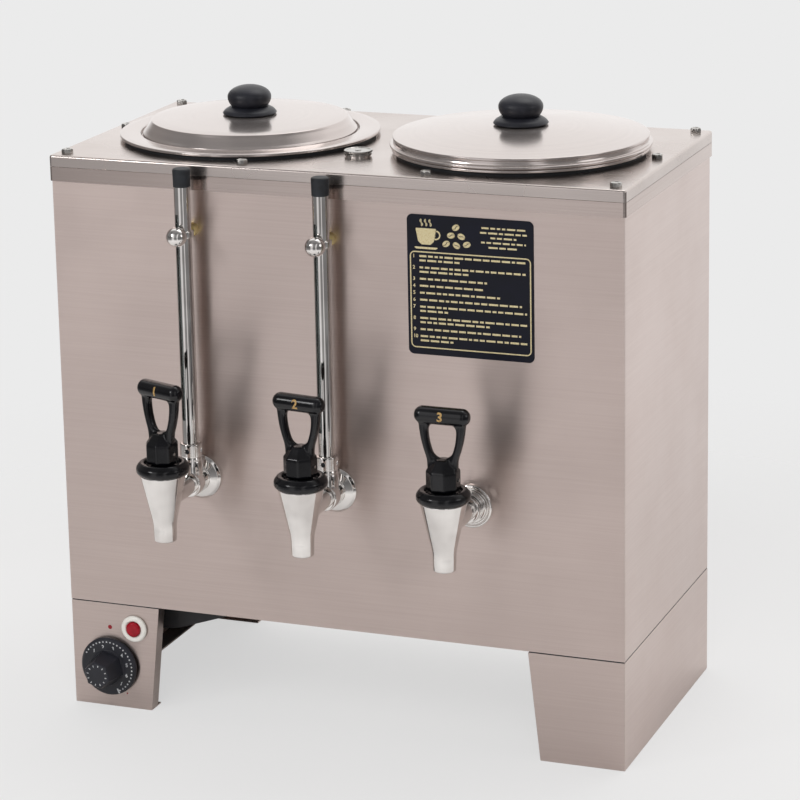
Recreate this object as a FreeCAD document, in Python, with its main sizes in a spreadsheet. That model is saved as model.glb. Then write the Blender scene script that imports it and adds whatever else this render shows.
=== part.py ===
import FreeCAD, Part
import math
import os
import Sketcher

# Double coffee urn: a water-jacketed counter urn with a coffee pot and a milk pot.
# Millimetres, +Z up, +X to the right seen from the taps, the taps towards -Y.
# The origin is the bottom centre of the whole urn, taps and cable gland included.

doc = FreeCAD.newDocument("coffee_urn")
sheet = doc.addObject("Spreadsheet::Sheet", "Sizes")


class Size:
    """A length that keeps both its number and the sheet formula it comes from."""

    def __init__(self, value, text):
        self.value = float(value)
        self.text = text

    def __add__(self, other):
        other = as_size(other)
        return Size(self.value + other.value, f"({self.text} + {other.text})")

    def __radd__(self, other):
        return as_size(other) + self

    def __sub__(self, other):
        other = as_size(other)
        return Size(self.value - other.value, f"({self.text} - {other.text})")

    def __rsub__(self, other):
        return as_size(other) - self

    def __mul__(self, other):
        other = as_size(other)
        return Size(self.value * other.value, f"({self.text} * {other.text})")

    def __rmul__(self, other):
        return as_size(other) * self

    def __truediv__(self, other):
        other = as_size(other)
        return Size(self.value / other.value, f"({self.text} / {other.text})")

    def __neg__(self):
        return Size(-self.value, f"(0 - {self.text})")


def as_size(value):
    """Wrap a plain number so that it can stand in a formula."""
    return value if isinstance(value, Size) else Size(value, repr(float(value)))


def size(alias, value, note):
    """Write one driving dimension into the sheet and return it for use in formulas."""
    size.row += 1
    cell = f"B{size.row}"
    sheet.set(f"A{size.row}", note)
    sheet.set(cell, str(value))
    sheet.setAlias(cell, alias)
    return Size(value, f"Sizes.{alias}")


size.row = 0

# Overall casing
cover_width = size("cover_width", 600, "top deck, left to right")
cover_depth = size("cover_depth", 300, "top deck, front to back")
cover_height = size("cover_height", 580, "top deck above the counter")
cover_sheet = size("cover_sheet", 1.5, "top deck sheet thickness")
cover_lip = size("cover_lip", 11.5, "turned-down edge of the top deck")
cover_corner = size("cover_corner", 3, "outer corner radius of deck and rim")
cover_bend = size("cover_bend", 2.4, "outer bend radius along the deck edge")
rim_lip = size("rim_lip", 26, "lower edge of the rim below the deck surface")
rim_sheet = size("rim_sheet", 1.6, "rim sheet thickness")
rim_flange = size("rim_flange", 28, "inner edge of the rim flange from the deck edge")
panel_inset = size("panel_inset", 2, "casing panels behind the deck edge")
panel_sheet = size("panel_sheet", 1.2, "casing panel thickness")
seam_gap = size("seam_gap", 0.3, "open seam between sheets that butt")
pan_turn_up = size("pan_turn_up", 12, "upturned edge of the bottom pan")
leg_height = size("leg_height", 113, "casing bottom above the counter")

# Legs
leg_top_width = size("leg_top_width", 99, "leg front plate at the top")
leg_foot_width = size("leg_foot_width", 87, "leg front plate at the foot")
leg_sheet = size("leg_sheet", 1.5, "leg sheet thickness")
leg_return = size("leg_return", 15, "folded return along the inner edge of a leg")
leg_flange = size("leg_flange", 22, "folded foot flange of a leg")

# Deck bolts
bolt_inset = size("bolt_inset", 14, "bolt axis from the deck edge")
bolt_third = size("bolt_third", 96, "inner front and back bolts from the middle")
bolt_flats = size("bolt_flats", 10, "hexagon head across flats")
bolt_head = size("bolt_head", 4, "hexagon head height")
bolt_radius = size("bolt_radius", 3, "bolt shank radius")
bolt_length = size("bolt_length", 14, "bolt shank length below the head")
bolt_clearance = size("bolt_clearance", 0.3, "radial room round a bolt")

# Water tank
tank_inset = size("tank_inset", 25, "tank wall behind the deck edge")
tank_sheet = size("tank_sheet", 1.2, "tank sheet thickness")
tank_floor = size("tank_floor", 22, "tank floor above the casing bottom")

# Pots
pot_offset = size("pot_offset", 146, "pot axis from the middle of the deck")
pot_radius = size("pot_radius", 106, "pot inner radius")
pot_sheet = size("pot_sheet", 1.2, "pot sheet thickness")
pot_floor = size("pot_floor", 232, "pot floor above the counter")
pot_floor_round = size("pot_floor_round", 12, "corner radius at the pot floor")
pot_mouth = size("pot_mouth", 111.5, "mouth recess radius that takes the lid")
pot_ledge = size("pot_ledge", 2, "lid ledge above the deck surface")
pot_rim_top = size("pot_rim_top", 7, "pot rim above the deck surface")
pot_rim_edge = size("pot_rim_edge", 3, "height of the turned-down rim edge")
coffee_rim_radius = size("coffee_rim_radius", 133, "outer radius of the coffee pot rim")
milk_rim_radius = size("milk_rim_radius", 128.5, "outer radius of the milk pot rim")
deck_hole_gap = size("deck_hole_gap", 1.3, "radial room between pot and deck")
seal_inset = size("seal_inset", 5, "pot seal edge inside the rim edge")
spigot_radius = size("spigot_radius", 13, "outer radius of a pot outlet tube")
spigot_gap = size("spigot_gap", 0.1, "radial room round a tap shank")

# Lids
lid_sheet = size("lid_sheet", 1.2, "lid sheet thickness")
plug_lid_top = size("plug_lid_top", 19, "edge of the coffee lid top above the deck")
plug_lid_crown = size("plug_lid_crown", 2.5, "rise of the coffee lid at its middle")
plug_lid_radius = size("plug_lid_radius", 103.5, "top radius of the coffee lid")
plug_lid_foot = size("plug_lid_foot", 109.5, "foot radius of the coffee lid")
plug_lid_shoulder = size("plug_lid_shoulder", 6, "foot band height of the coffee lid")
cap_lid_top = size("cap_lid_top", 15, "edge of the milk lid top above the deck")
cap_lid_crown = size("cap_lid_crown", 4, "rise of the milk lid at its middle")
cap_lid_radius = size("cap_lid_radius", 126.5, "top radius of the milk lid")
cap_lid_brim = size("cap_lid_brim", 130, "brim radius of the milk lid")
cap_lid_brim_height = size("cap_lid_brim_height", 2.6, "brim bead height of the milk lid")
cap_lid_skirt = size("cap_lid_skirt", 105, "locating skirt radius of the milk lid")
cap_lid_skirt_depth = size("cap_lid_skirt_depth", 12, "locating skirt below the deck")
lid_seat_gap = size("lid_seat_gap", 0.2, "room under a lid where it rests")

# Lid knobs
knob_base_radius = size("knob_base_radius", 28, "flared base radius of a lid knob")
knob_base_edge = size("knob_base_edge", 1.5, "base edge height")
knob_waist_radius = size("knob_waist_radius", 18.5, "waist radius")
knob_waist_height = size("knob_waist_height", 9.5, "waist above the lid")
knob_bulb_radius = size("knob_bulb_radius", 22.3, "bulb radius")
knob_bulb_height = size("knob_bulb_height", 17.5, "widest part of the bulb above the lid")
knob_height = size("knob_height", 29, "knob height")

# Filler
filler_y = size("filler_y", 81, "filler axis behind the deck front edge")
filler_radius = size("filler_radius", 10, "filler neck radius")
filler_bore = size("filler_bore", 8.4, "filler neck bore")
filler_flange = size("filler_flange", 12.6, "filler neck flange radius")
filler_flange_height = size("filler_flange_height", 1.6, "filler neck flange height")
filler_length = size("filler_length", 20, "filler neck below the deck")
filler_cap_radius = size("filler_cap_radius", 14.2, "filler cap radius")
filler_cap_step = size("filler_cap_step", 12.8, "lower step radius of the filler cap")
filler_cap_height = size("filler_cap_height", 5, "filler cap height")
filler_plug = size("filler_plug", 8, "filler cap plug radius")
filler_plug_length = size("filler_plug_length", 10, "filler cap plug length")

# Taps
tap_reach = size("tap_reach", 85, "tap axis in front of the deck edge")
tap_height = size("tap_height", 260, "tap shank axis above the counter")
tap_outlet_radius = size("tap_outlet_radius", 10.8, "outlet tube radius")
tap_outlet_drop = size("tap_outlet_drop", 43, "outlet mouth below the shank axis")
tap_cone_drop = size("tap_cone_drop", 18, "lower end of the cone below the shank axis")
tap_body_radius = size("tap_body_radius", 19.8, "cone radius under the bonnet")
tap_body_rise = size("tap_body_rise", 22, "top of the cone above the shank axis")
tap_neck_radius = size("tap_neck_radius", 17, "threaded neck radius inside the bonnet")
tap_neck_rise = size("tap_neck_rise", 29, "neck top above the shank axis")
tap_cavity_radius = size("tap_cavity_radius", 10.4, "valve cavity radius")
tap_seat_drop = size("tap_seat_drop", 9, "valve seat below the shank axis")
tap_passage = size("tap_passage", 6, "outlet passage radius")
shank_radius = size("shank_radius", 10, "tap shank radius")
shank_bore = size("shank_bore", 5.5, "tap shank bore")
shank_inside = size("shank_inside", 35, "shank length behind the deck edge")
shank_nut_flats = size("shank_nut_flats", 27, "shank nut across flats")
shank_nut_height = size("shank_nut_height", 7, "shank nut thickness")
escutcheon_radius = size("escutcheon_radius", 23, "tap wall flange radius")
escutcheon_sheet = size("escutcheon_sheet", 1.5, "tap wall flange wall")

# Bonnets
bonnet_radius = size("bonnet_radius", 27.5, "grip ring radius of a bonnet")
bonnet_height = size("bonnet_height", 14, "bonnet height above the cone")
bonnet_round = size("bonnet_round", 6, "rounding of the grip ring")
bonnet_roof = size("bonnet_roof", 6, "bonnet thickness over the spring")
guide_gap = size("guide_gap", 0.06, "radial running clearance of stem and pin")
washer_radius = size("washer_radius", 12, "thrust washer radius")
washer_height = size("washer_height", 1.5, "thrust washer thickness")
part_gap = size("part_gap", 0.1, "gap between faces that slide or turn")

# Stems, seats and springs
stem_radius = size("stem_radius", 3, "valve stem radius")
stem_room = size("stem_room", 0.5, "radial room round a stem away from its guide")
seat_cup_radius = size("seat_cup_radius", 8.6, "seat cup radius")
seat_cup_height = size("seat_cup_height", 11, "seat cup height")
seat_cup_socket = size("seat_cup_socket", 6, "stem length held in the seat cup")
seat_gap = size("seat_gap", 0.3, "seat cup above its seat")
spring_radius = size("spring_radius", 7.2, "valve spring outer radius")
spring_wire = size("spring_wire", 1.5, "valve spring wire diameter")
pin_radius = size("pin_radius", 1.5, "handle pin radius")
pin_height = size("pin_height", 13, "handle pin above the handle underside")

# Tap handles
hub_radius = size("hub_radius", 17, "handle hub radius")
hub_height = size("hub_height", 27, "handle hub height")
hub_heel_radius = size("hub_heel_radius", 12, "flat heel radius under the hub")
hub_heel_rise = size("hub_heel_rise", 3, "rise of the hub underside at its edge")
loop_thickness = size("loop_thickness", 12, "handle loop, front to back")
loop_root = size("loop_root", 15.5, "half width of the loop at the hub")
loop_shoulder = size("loop_shoulder", 24.5, "half width of the loop under the bar")
loop_window_bottom = size("loop_window_bottom", 31, "window bottom above the hub underside")
loop_window_top = size("loop_window_top", 66, "window top above the hub underside")
loop_window_top_half = size("loop_window_top_half", 13.5, "half width of the window top")
loop_window_low_half = size("loop_window_low_half", 9, "half width of the window low down")
loop_window_round = size("loop_window_round", 4.5, "upper corner radius of the handle window")
bar_half = size("bar_half", 28.5, "half length of the handle bar")
bar_radius = size("bar_radius", 9.8, "handle bar radius")
bar_height = size("bar_height", 74, "bar axis above the hub underside")
bar_end_round = size("bar_end_round", 5, "rounding of the bar ends")
coffee_handle_turn = size("coffee_handle_turn", 20, "rest angle of the coffee handle")
water_handle_turn = size("water_handle_turn", 8, "rest angle of the water handle")
milk_handle_turn = size("milk_handle_turn", 0, "rest angle of the milk handle")

# Level gauges
gauge_reach = size("gauge_reach", 19, "gauge axis in front of the deck edge")
tee_collar_radius = size("tee_collar_radius", 13.5, "gauge tee collar radius")
tee_collar_length = size("tee_collar_length", 22, "gauge tee collar length")
tee_stub_radius = size("tee_stub_radius", 11.5, "gauge tee upright radius")
tee_stub_rise = size("tee_stub_rise", 27, "gauge tee top above the shank axis")
gauge_nut_radius = size("gauge_nut_radius", 11, "gauge nut radius")
gauge_nut_height = size("gauge_nut_height", 14, "gauge nut height")
gauge_nut_hole = size("gauge_nut_hole", 1.6, "spanner hole radius of the gauge nut")
guard_radius = size("guard_radius", 8, "gauge guard tube radius")
guard_wall = size("guard_wall", 1, "gauge guard wall")
guard_top = size("guard_top", 6, "guard top below the deck surface")
guard_slot_width = size("guard_slot_width", 5.5, "sight slot width")
guard_slot_margin = size("guard_slot_margin", 22, "solid guard above and below the slot")
guard_slot_turn = size("guard_slot_turn", 25, "sight slot turned to the left")
glass_radius = size("glass_radius", 6, "gauge glass radius")
glass_wall = size("glass_wall", 1.2, "gauge glass wall")
gauge_cap_radius = size("gauge_cap_radius", 9.6, "gauge cap top radius")
gauge_cap_foot = size("gauge_cap_foot", 9.1, "gauge cap foot radius")
gauge_cap_height = size("gauge_cap_height", 18, "gauge cap height")
gauge_cap_roof = size("gauge_cap_roof", 5.4, "gauge cap thickness over the tube")
clip_drop = size("clip_drop", 66, "gauge clip below the deck surface")
clip_wall = size("clip_wall", 2.2, "gauge clip ring wall")
clip_width = size("clip_width", 7, "gauge clip ring height")
dome_radius = size("dome_radius", 10, "dome nut radius")
dome_centre = size("dome_centre", 16, "dome centre in front of the gauge axis")
spacer_radius = size("spacer_radius", 7, "gauge spacer radius")
dome_socket = size("dome_socket", 5, "depth of the dome nut's bore")
stud_radius = size("stud_radius", 2.5, "gauge stud radius")

# Label plate
label_x = size("label_x", 144.5, "label centre from the middle")
label_drop = size("label_drop", 105, "label centre below the deck surface")
label_width = size("label_width", 128, "label width")
label_height = size("label_height", 138.5, "label height")
label_sheet = size("label_sheet", 0.8, "label thickness")
label_corner = size("label_corner", 5.5, "label corner radius")

# Heater and controls
heater_inset = size("heater_inset", 74, "heater flange axis from the left end of the deck")
heater_y = size("heater_y", 90, "heater flange axis behind the deck edge")
heater_flange = size("heater_flange", 22, "heater flange radius")
heater_flange_height = size("heater_flange_height", 5, "heater flange thickness")
heater_rod = size("heater_rod", 4.2, "heater rod radius")
heater_pin = size("heater_pin", 2, "heater terminal radius")
heater_pin_length = size("heater_pin_length", 9, "heater terminal length under the flange")
heater_pitch = size("heater_pitch", 24, "distance between the heater rod legs")
heater_low = size("heater_low", 18, "lower heater run above the tank floor")
heater_reach = size("heater_reach", 215, "right end of the heater from the middle")
heater_bend = size("heater_bend", 11, "heater bend radius")
cover_box_right = size("cover_box_right", 112, "terminal cover right edge left of the middle")
cover_box_front = size("cover_box_front", 34, "terminal cover front behind the deck edge")
cover_box_depth = size("cover_box_depth", 120, "terminal cover depth")
cover_box_height = size("cover_box_height", 36, "terminal cover height")
cover_box_slope = size("cover_box_slope", 34, "run of the sloped end of the terminal cover")
cover_box_sheet = size("cover_box_sheet", 1.0, "terminal cover sheet")
dial_inset = size("dial_inset", 44, "dial axis from the left end of the deck")
dial_z = size("dial_z", 45, "dial axis above the counter")
dial_radius = size("dial_radius", 31, "dial skirt radius")
dial_skirt = size("dial_skirt", 6.5, "dial skirt thickness")
dial_grip_radius = size("dial_grip_radius", 12.5, "dial grip radius")
dial_grip = size("dial_grip", 26, "dial grip length")
dial_gap = size("dial_gap", 1, "dial in front of the leg plate")
shaft_radius = size("shaft_radius", 3, "thermostat shaft radius")
shaft_socket = size("shaft_socket", 14, "shaft length inside the dial")
thermostat_width = size("thermostat_width", 44, "thermostat body width")
thermostat_height = size("thermostat_height", 34, "thermostat body height")
thermostat_depth = size("thermostat_depth", 28, "thermostat body depth")
capillary_radius = size("capillary_radius", 1.2, "capillary radius")
sensor_radius = size("sensor_radius", 4, "sensor bulb radius")
sensor_length = size("sensor_length", 55, "sensor bulb length")
sensor_gland = size("sensor_gland", 8, "sensor gland radius")
sensor_gland_height = size("sensor_gland_height", 6, "sensor gland height under the tank")
lamp_inset = size("lamp_inset", 73, "lamp axis from the left end of the deck")
lamp_z = size("lamp_z", 88, "lamp axis above the counter")
lamp_bezel_radius = size("lamp_bezel_radius", 14, "lamp bezel radius")
lamp_bezel_depth = size("lamp_bezel_depth", 4, "lamp bezel depth")
lamp_barrel_radius = size("lamp_barrel_radius", 9.5, "lamp barrel radius")
lamp_barrel_length = size("lamp_barrel_length", 18, "lamp barrel behind the leg plate")
lens_radius = size("lens_radius", 7.8, "lamp lens radius")
lens_depth = size("lens_depth", 12, "lamp lens length inside the bezel")
lens_dome = size("lens_dome", 2.2, "lamp lens rise in front of the bezel")
gland_z = size("gland_z", 48, "cable gland above the counter")
gland_inset = size("gland_inset", 50, "cable gland from the left end of the deck")
gland_radius = size("gland_radius", 11, "cable gland head radius")
gland_reach = size("gland_reach", 16, "cable gland behind the leg plate")
gland_thread = size("gland_thread", 8, "cable gland thread radius")
gland_thread_length = size("gland_thread_length", 12, "cable gland thread inside the leg")
gland_bore = size("gland_bore", 4.2, "cable gland bore")

# Places worked out from the sizes
half_width = cover_width / 2
reach_front = tap_reach + bonnet_radius
reach_back = gland_reach - panel_inset
front = (reach_front - cover_depth - reach_back) / 2
middle_y = front + cover_depth / 2
back = front + cover_depth
panel_face = front + panel_inset
panel_side = half_width - panel_inset
panel_top = cover_height - cover_lip - rim_sheet - 2 * seam_gap
tank_z = leg_height + tank_floor
tank_front = front + tank_inset
tap_y = front - tap_reach
gauge_y = front - gauge_reach
cone_top = tap_height + tap_body_rise
bonnet_top = cone_top + bonnet_height
heel_z = bonnet_top + washer_height + 2 * part_gap
pin_z = heel_z + pin_height
seat_z = tap_height - tap_seat_drop
escutcheon_depth = gauge_reach + panel_inset - tee_stub_radius - seam_gap
clip_height = cover_height - clip_drop
label_z = cover_height - label_drop
dial_x = half_width - dial_inset
lamp_x = half_width - lamp_inset
gland_x = half_width - gland_inset
heater_x = half_width - heater_inset
ZERO = as_size(0)

nodes = []


def bind(item, prop, value):
    """Tie one property of a document object to a sheet formula."""
    item.setExpression(prop, as_size(value).text)


def place(item, x=ZERO, y=ZERO, z=ZERO, turn=None, axis=(0, 0, 1)):
    """Put an object at a bound position, with an optional bound turn about one axis."""
    x, y, z = as_size(x), as_size(y), as_size(z)
    angle = as_size(turn if turn is not None else 0)
    rotation = FreeCAD.Rotation(FreeCAD.Vector(*axis), angle.value)
    item.Placement = FreeCAD.Placement(FreeCAD.Vector(x.value, y.value, z.value), rotation)
    for name, value in (("x", x), ("y", y), ("z", z)):
        bind(item, f"Placement.Base.{name}", value)
    if isinstance(turn, Size):
        bind(item, "Placement.Rotation.Angle", angle)
    return item


def block(x0, x1, y0, y1, z0, z1):
    """A box between two corners."""
    box = doc.addObject("Part::Box", "Block")
    bind(box, "Length", as_size(x1) - x0)
    bind(box, "Width", as_size(y1) - y0)
    bind(box, "Height", as_size(z1) - z0)
    return place(box, x0, y0, z0)


def rod(radius, length, x, y, z, along="z"):
    """A cylinder that starts at a point and runs towards +X, +Y or +Z."""
    cylinder = doc.addObject("Part::Cylinder", "Rod")
    bind(cylinder, "Radius", radius)
    bind(cylinder, "Height", length)
    turns = {"z": (0, (0, 0, 1)), "x": (90, (0, 1, 0)), "y": (-90, (1, 0, 0))}
    angle, axis = turns[along]
    return place(cylinder, x, y, z, angle, axis)


def cut(base, *tools):
    """The base with every tool taken away."""
    tool = tools[0] if len(tools) == 1 else fuse(*tools)
    result = doc.addObject("Part::Cut", "Cut")
    result.Base = base
    result.Tool = tool
    return result


def fuse(*shapes):
    """Several overlapping or touching shapes as one."""
    result = doc.addObject("Part::MultiFuse", "Fuse")
    result.Shapes = list(shapes)
    return result


def shared(first, second):
    """The room two shapes have in common."""
    result = doc.addObject("Part::MultiCommon", "Shared")
    result.Shapes = [first, second]
    return result


def group(label, items):
    """Like pieces that stay separate solids, in one node."""
    result = doc.addObject("Part::Compound", "Group")
    result.Links = list(items)
    return node(label, result)


def node(label, item):
    """Name a finished sub-part."""
    item.Label = label
    nodes.append(item)
    return item


class Bow:
    """An arc to a point, with its radius and the side it swells to (1 left, -1 right)."""

    def __init__(self, u, v, radius, side):
        self.u, self.v = as_size(u), as_size(v)
        self.radius = as_size(radius)
        self.side = side


def arc_middle(start, end, radius, side):
    """The middle point of the arc from start to end."""
    du, dv = end[0] - start[0], end[1] - start[1]
    chord = math.hypot(du, dv)
    sagitta = radius - math.sqrt(max(radius ** 2 - chord ** 2 / 4, 0.0))
    return ((start[0] + end[0]) / 2 - side * sagitta * dv / chord,
            (start[1] + end[1]) / 2 + side * sagitta * du / chord)


def origin_plane(body, role):
    """One of the body's own origin planes or axes."""
    return next(item for item in body.Origin.OriginFeatures if item.Role == role)


def pin_point(sketch, geometry, corner, u, v):
    """Tie one sketch corner to its bound distances from the sketch origin."""
    for kind, value, axis in (("DistanceX", u, -2), ("DistanceY", v, -1)):
        if value.text == ZERO.text:
            sketch.addConstraint(Sketcher.Constraint("PointOnObject", geometry, corner, axis))
            continue
        rule = Sketcher.Constraint(kind, -1, 1, geometry, corner, value.value)
        index = sketch.addConstraint(rule)
        sketch.setExpression(f"Constraints[{index}]", value.text)


def outline(body, role, points, offset=None):
    """A closed outline of lines and arcs in a sketch on one of the body's planes."""
    sketch = body.newObject("Sketcher::SketchObject", "Outline")
    sketch.AttachmentSupport = [(origin_plane(body, role), "")]
    sketch.MapMode = "FlatFace"
    if offset is not None:
        bind(sketch, "AttachmentOffset.Base.z", offset)
    marks = [p if isinstance(p, Bow) else (as_size(p[0]), as_size(p[1])) for p in points]
    spots = [(p.u, p.v) if isinstance(p, Bow) else p for p in marks]
    plain = [(u.value, v.value) for u, v in spots]
    ends = []
    for index, mark in enumerate(marks):
        start, end = plain[index - 1], plain[index]
        first = FreeCAD.Vector(start[0], start[1], 0)
        last = FreeCAD.Vector(end[0], end[1], 0)
        if isinstance(mark, Bow):
            middle = arc_middle(start, end, mark.radius.value, mark.side)
            curve = Part.Arc(first, FreeCAD.Vector(middle[0], middle[1], 0), last)
            geometry = sketch.addGeometry(curve, False)
            swapped = sketch.getPoint(geometry, 1).distanceToPoint(first) > 1e-6
            ends.append((geometry, 2, 1) if swapped else (geometry, 1, 2))
        else:
            geometry = sketch.addGeometry(Part.LineSegment(first, last), False)
            ends.append((geometry, 1, 2))
    for index, (geometry, _, corner) in enumerate(ends):
        after, opening, _ = ends[(index + 1) % len(ends)]
        sketch.addConstraint(Sketcher.Constraint("Coincident", geometry, corner, after, opening))
        pin_point(sketch, geometry, corner, *spots[index])
    for index, mark in enumerate(marks):
        if isinstance(mark, Bow):
            rule = Sketcher.Constraint("Radius", ends[index][0], mark.radius.value)
            place_in_list = sketch.addConstraint(rule)
            sketch.setExpression(f"Constraints[{place_in_list}]", mark.radius.text)
    return sketch


def new_body(name="Piece"):
    """An empty body."""
    return doc.addObject("PartDesign::Body", name)


def turned(points, body=None):
    """A solid turned about Z from (radius, height) corners."""
    body = body or new_body()
    sketch = outline(body, "XZ_Plane", points)
    feature = body.newObject("PartDesign::Revolution", "Turned")
    feature.Profile = sketch
    feature.ReferenceAxis = (sketch, ["V_Axis"])
    feature.Angle = 360
    sketch.Visibility = False
    return body


def drawn(points, thickness, role="XZ_Plane", offset=None, centred=True, body=None):
    """A solid pulled straight from an outline, to both sides or to one."""
    body = body or new_body()
    sketch = outline(body, role, points, offset)
    feature = body.newObject("PartDesign::Pad", "Drawn")
    feature.Profile = sketch
    feature.Midplane = centred
    bind(feature, "Length", thickness)
    return body


def rounded(body, radius, direction="z"):
    """Round the outer edges of a body's last feature that run along one axis."""
    doc.recompute()
    base = body.Tip
    index = {"x": 0, "y": 1, "z": 2}[direction]
    names = []
    for number, edge in enumerate(base.Shape.Edges, 1):
        if edge.Curve.TypeId != "Part::GeomLine":
            continue
        way = edge.tangentAt(edge.FirstParameter)
        if abs(way[index]) > 0.999:
            names.append(f"Edge{number}")
    feature = body.newObject("PartDesign::Fillet", "Rounding")
    feature.Base = (base, names)
    bind(feature, "Radius", radius)
    return body


def slab(x0, x1, y0, y1, z0, z1, radius):
    """A box with its upright edges rounded."""
    body = new_body()
    corners = [(x0, y0), (x1, y0), (x1, y1), (x0, y1)]
    drawn(corners, as_size(z1) - z0, "XY_Plane", z0, False, body)
    return rounded(body, radius)


def bent(body, radius):
    """Round the outer edges of a body's top face, as a sheet's bend does."""
    doc.recompute()
    base = body.Tip
    top = base.Shape.BoundBox.ZMax
    names = [f"Edge{number}" for number, edge in enumerate(base.Shape.Edges, 1)
             if min(point.z for point in edge.discretize(3)) > top - 1e-6]
    feature = body.newObject("PartDesign::Fillet", "Bend")
    feature.Base = (base, names)
    bind(feature, "Radius", radius)
    return body


def ring_slab(inset, wall, z0, z1, radius):
    """A rectangular frame of upright sheet that follows the deck edge."""
    outer = slab(-half_width + inset, half_width - inset, front + inset, back - inset, z0, z1, radius)
    inner = block(-half_width + inset + wall, half_width - inset - wall,
                  front + inset + wall, back - inset - wall, z0 - 1, z1 + 1)
    return cut(outer, inner)


def eased(start, corner, end):
    """A quarter round between two points as two chords, from the corner it rounds off."""
    middle = [(as_size(a) + c) * 0.2929 + as_size(k) * 0.4142 for a, k, c in zip(start, corner, end)]
    return [start, tuple(middle), end]


def dome(radius, low, high, steps=4):
    """Quarter ellipse from a radius at one height to the axis at another."""
    turns = [math.radians(90 * step / steps) for step in range(1, steps)]
    rise = as_size(high) - low
    ring = [(as_size(radius) * math.cos(turn), low + rise * math.sin(turn)) for turn in turns]
    return [(radius, low), *ring, (ZERO, high)]


def crown(radius, low, rise):
    """Shallow rise of a lid from its edge to its middle."""
    return [(radius, low), (as_size(radius) / 2, low + as_size(rise) * 0.75), (ZERO, low + as_size(rise))]


# Bolt places round the deck: corners, side middles and the front and back thirds
bolt_x = half_width - bolt_inset
bolt_front = front + bolt_inset
bolt_back = back - bolt_inset
bolt_places = [(x, y) for y in (bolt_front, bolt_back) for x in (-bolt_x, -bolt_third, bolt_third, bolt_x)]
bolt_places += [(-bolt_x, middle_y), (bolt_x, middle_y)]
pot_places = {"coffee": -pot_offset, "milk": pot_offset}
tap_places = {"coffee": -pot_offset, "water": ZERO, "milk": pot_offset}
gauge_places = {"coffee": -pot_offset, "water": ZERO}


def bolt_holes(radius, z0, z1):
    """Holes for the deck bolts."""
    return [rod(radius, as_size(z1) - z0, x, y, z0) for x, y in bolt_places]


def top_deck():
    """Shallow tray turned upside down, with the pot, filler and bolt holes."""
    outer = slab(-half_width, half_width, front, back, cover_height - cover_lip, cover_height, cover_corner)
    bent(outer, cover_bend)
    hollow = block(-half_width + cover_sheet, half_width - cover_sheet, front + cover_sheet,
                   back - cover_sheet, cover_height - cover_lip - 1, cover_height - cover_sheet)
    low = cover_height - cover_sheet - 1
    deep = cover_sheet + 2
    holes = [rod(pot_mouth + pot_sheet + deck_hole_gap, deep, x, middle_y, low) for x in pot_places.values()]
    holes.append(rod(filler_radius + bolt_clearance, deep, ZERO, front + filler_y, low))
    node("top_deck", cut(outer, hollow, *holes, *bolt_holes(bolt_radius + bolt_clearance, low, low + deep)))


def rim_frame():
    """Z-shaped frame under the deck: hanging band, step, upstand and bolting flange."""
    step_top = cover_height - cover_lip - seam_gap
    step_low = step_top - rim_sheet
    upstand = cover_sheet + seam_gap
    flange_top = cover_height - cover_sheet
    band = ring_slab(ZERO, rim_sheet, cover_height - rim_lip, step_top, cover_corner)
    step = ring_slab(ZERO, upstand + rim_sheet, step_low, step_top, cover_corner)
    rise = ring_slab(upstand, rim_sheet, step_low, flange_top, cover_sheet)
    flange = ring_slab(upstand, rim_flange - upstand, flange_top - rim_sheet, flange_top, cover_sheet)
    frame = fuse(band, step, rise, flange)
    low = flange_top - rim_sheet - 1
    node("rim_frame", cut(frame, *bolt_holes(bolt_radius, low, flange_top + 1)))


def deck_bolts():
    """Hexagon bolts through the deck into the rim flange."""
    bolts = []
    for x, y in bolt_places:
        head = doc.addObject("Part::Prism", "Head")
        head.Polygon = 6
        bind(head, "Circumradius", bolt_flats / math.sqrt(3))
        bind(head, "Height", bolt_head)
        place(head, x, y, cover_height)
        shank = rod(bolt_radius, bolt_length, x, y, cover_height - bolt_length)
        bolts.append(fuse(head, shank))
    group("deck_bolts", bolts)


def casing():
    """Front panel, one folded sheet for sides and back, and the bottom pan."""
    panel = block(-panel_side, panel_side, panel_face, panel_face + panel_sheet, leg_height, panel_top)
    holes = [rod(shank_radius + bolt_clearance, panel_sheet + 2, x, panel_face - 1, tap_height, "y")
             for x in tap_places.values()]
    holes += [rod(stud_radius, panel_sheet + 2, x, panel_face - 1, clip_height, "y")
              for x in gauge_places.values()]
    node("front_panel", cut(panel, *holes))
    side_front = panel_face + panel_sheet + seam_gap
    outer = slab(-panel_side, panel_side, side_front, back - panel_inset, leg_height, panel_top, cover_sheet)
    inner = block(-panel_side + panel_sheet, panel_side - panel_sheet, side_front - 2 * cover_corner,
                  back - panel_inset - panel_sheet, leg_height - 1, panel_top + 1)
    square_front = fuse(outer,
                        block(-panel_side, -panel_side + panel_sheet, side_front, side_front + 3 * panel_sheet,
                              leg_height, panel_top),
                        block(panel_side - panel_sheet, panel_side, side_front, side_front + 3 * panel_sheet,
                              leg_height, panel_top))
    node("rear_wrap", cut(square_front, inner))
    left, right = -panel_side + panel_sheet, panel_side - panel_sheet
    near, far = panel_face + panel_sheet, back - panel_inset - panel_sheet
    pan = block(left, right, near, far, leg_height, leg_height + pan_turn_up)
    well = block(left + panel_sheet, right - panel_sheet, near + panel_sheet, far - panel_sheet,
                 leg_height + panel_sheet, leg_height + pan_turn_up + 1)
    heater_hole = rod(heater_flange + 2, panel_sheet + 2, -heater_x, front + heater_y, leg_height - 1)
    sensor_hole = rod(sensor_gland + 2, panel_sheet + 2, -dial_x, sensor_y, leg_height - 1)
    node("bottom_pan", cut(pan, well, heater_hole, sensor_hole))


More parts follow.
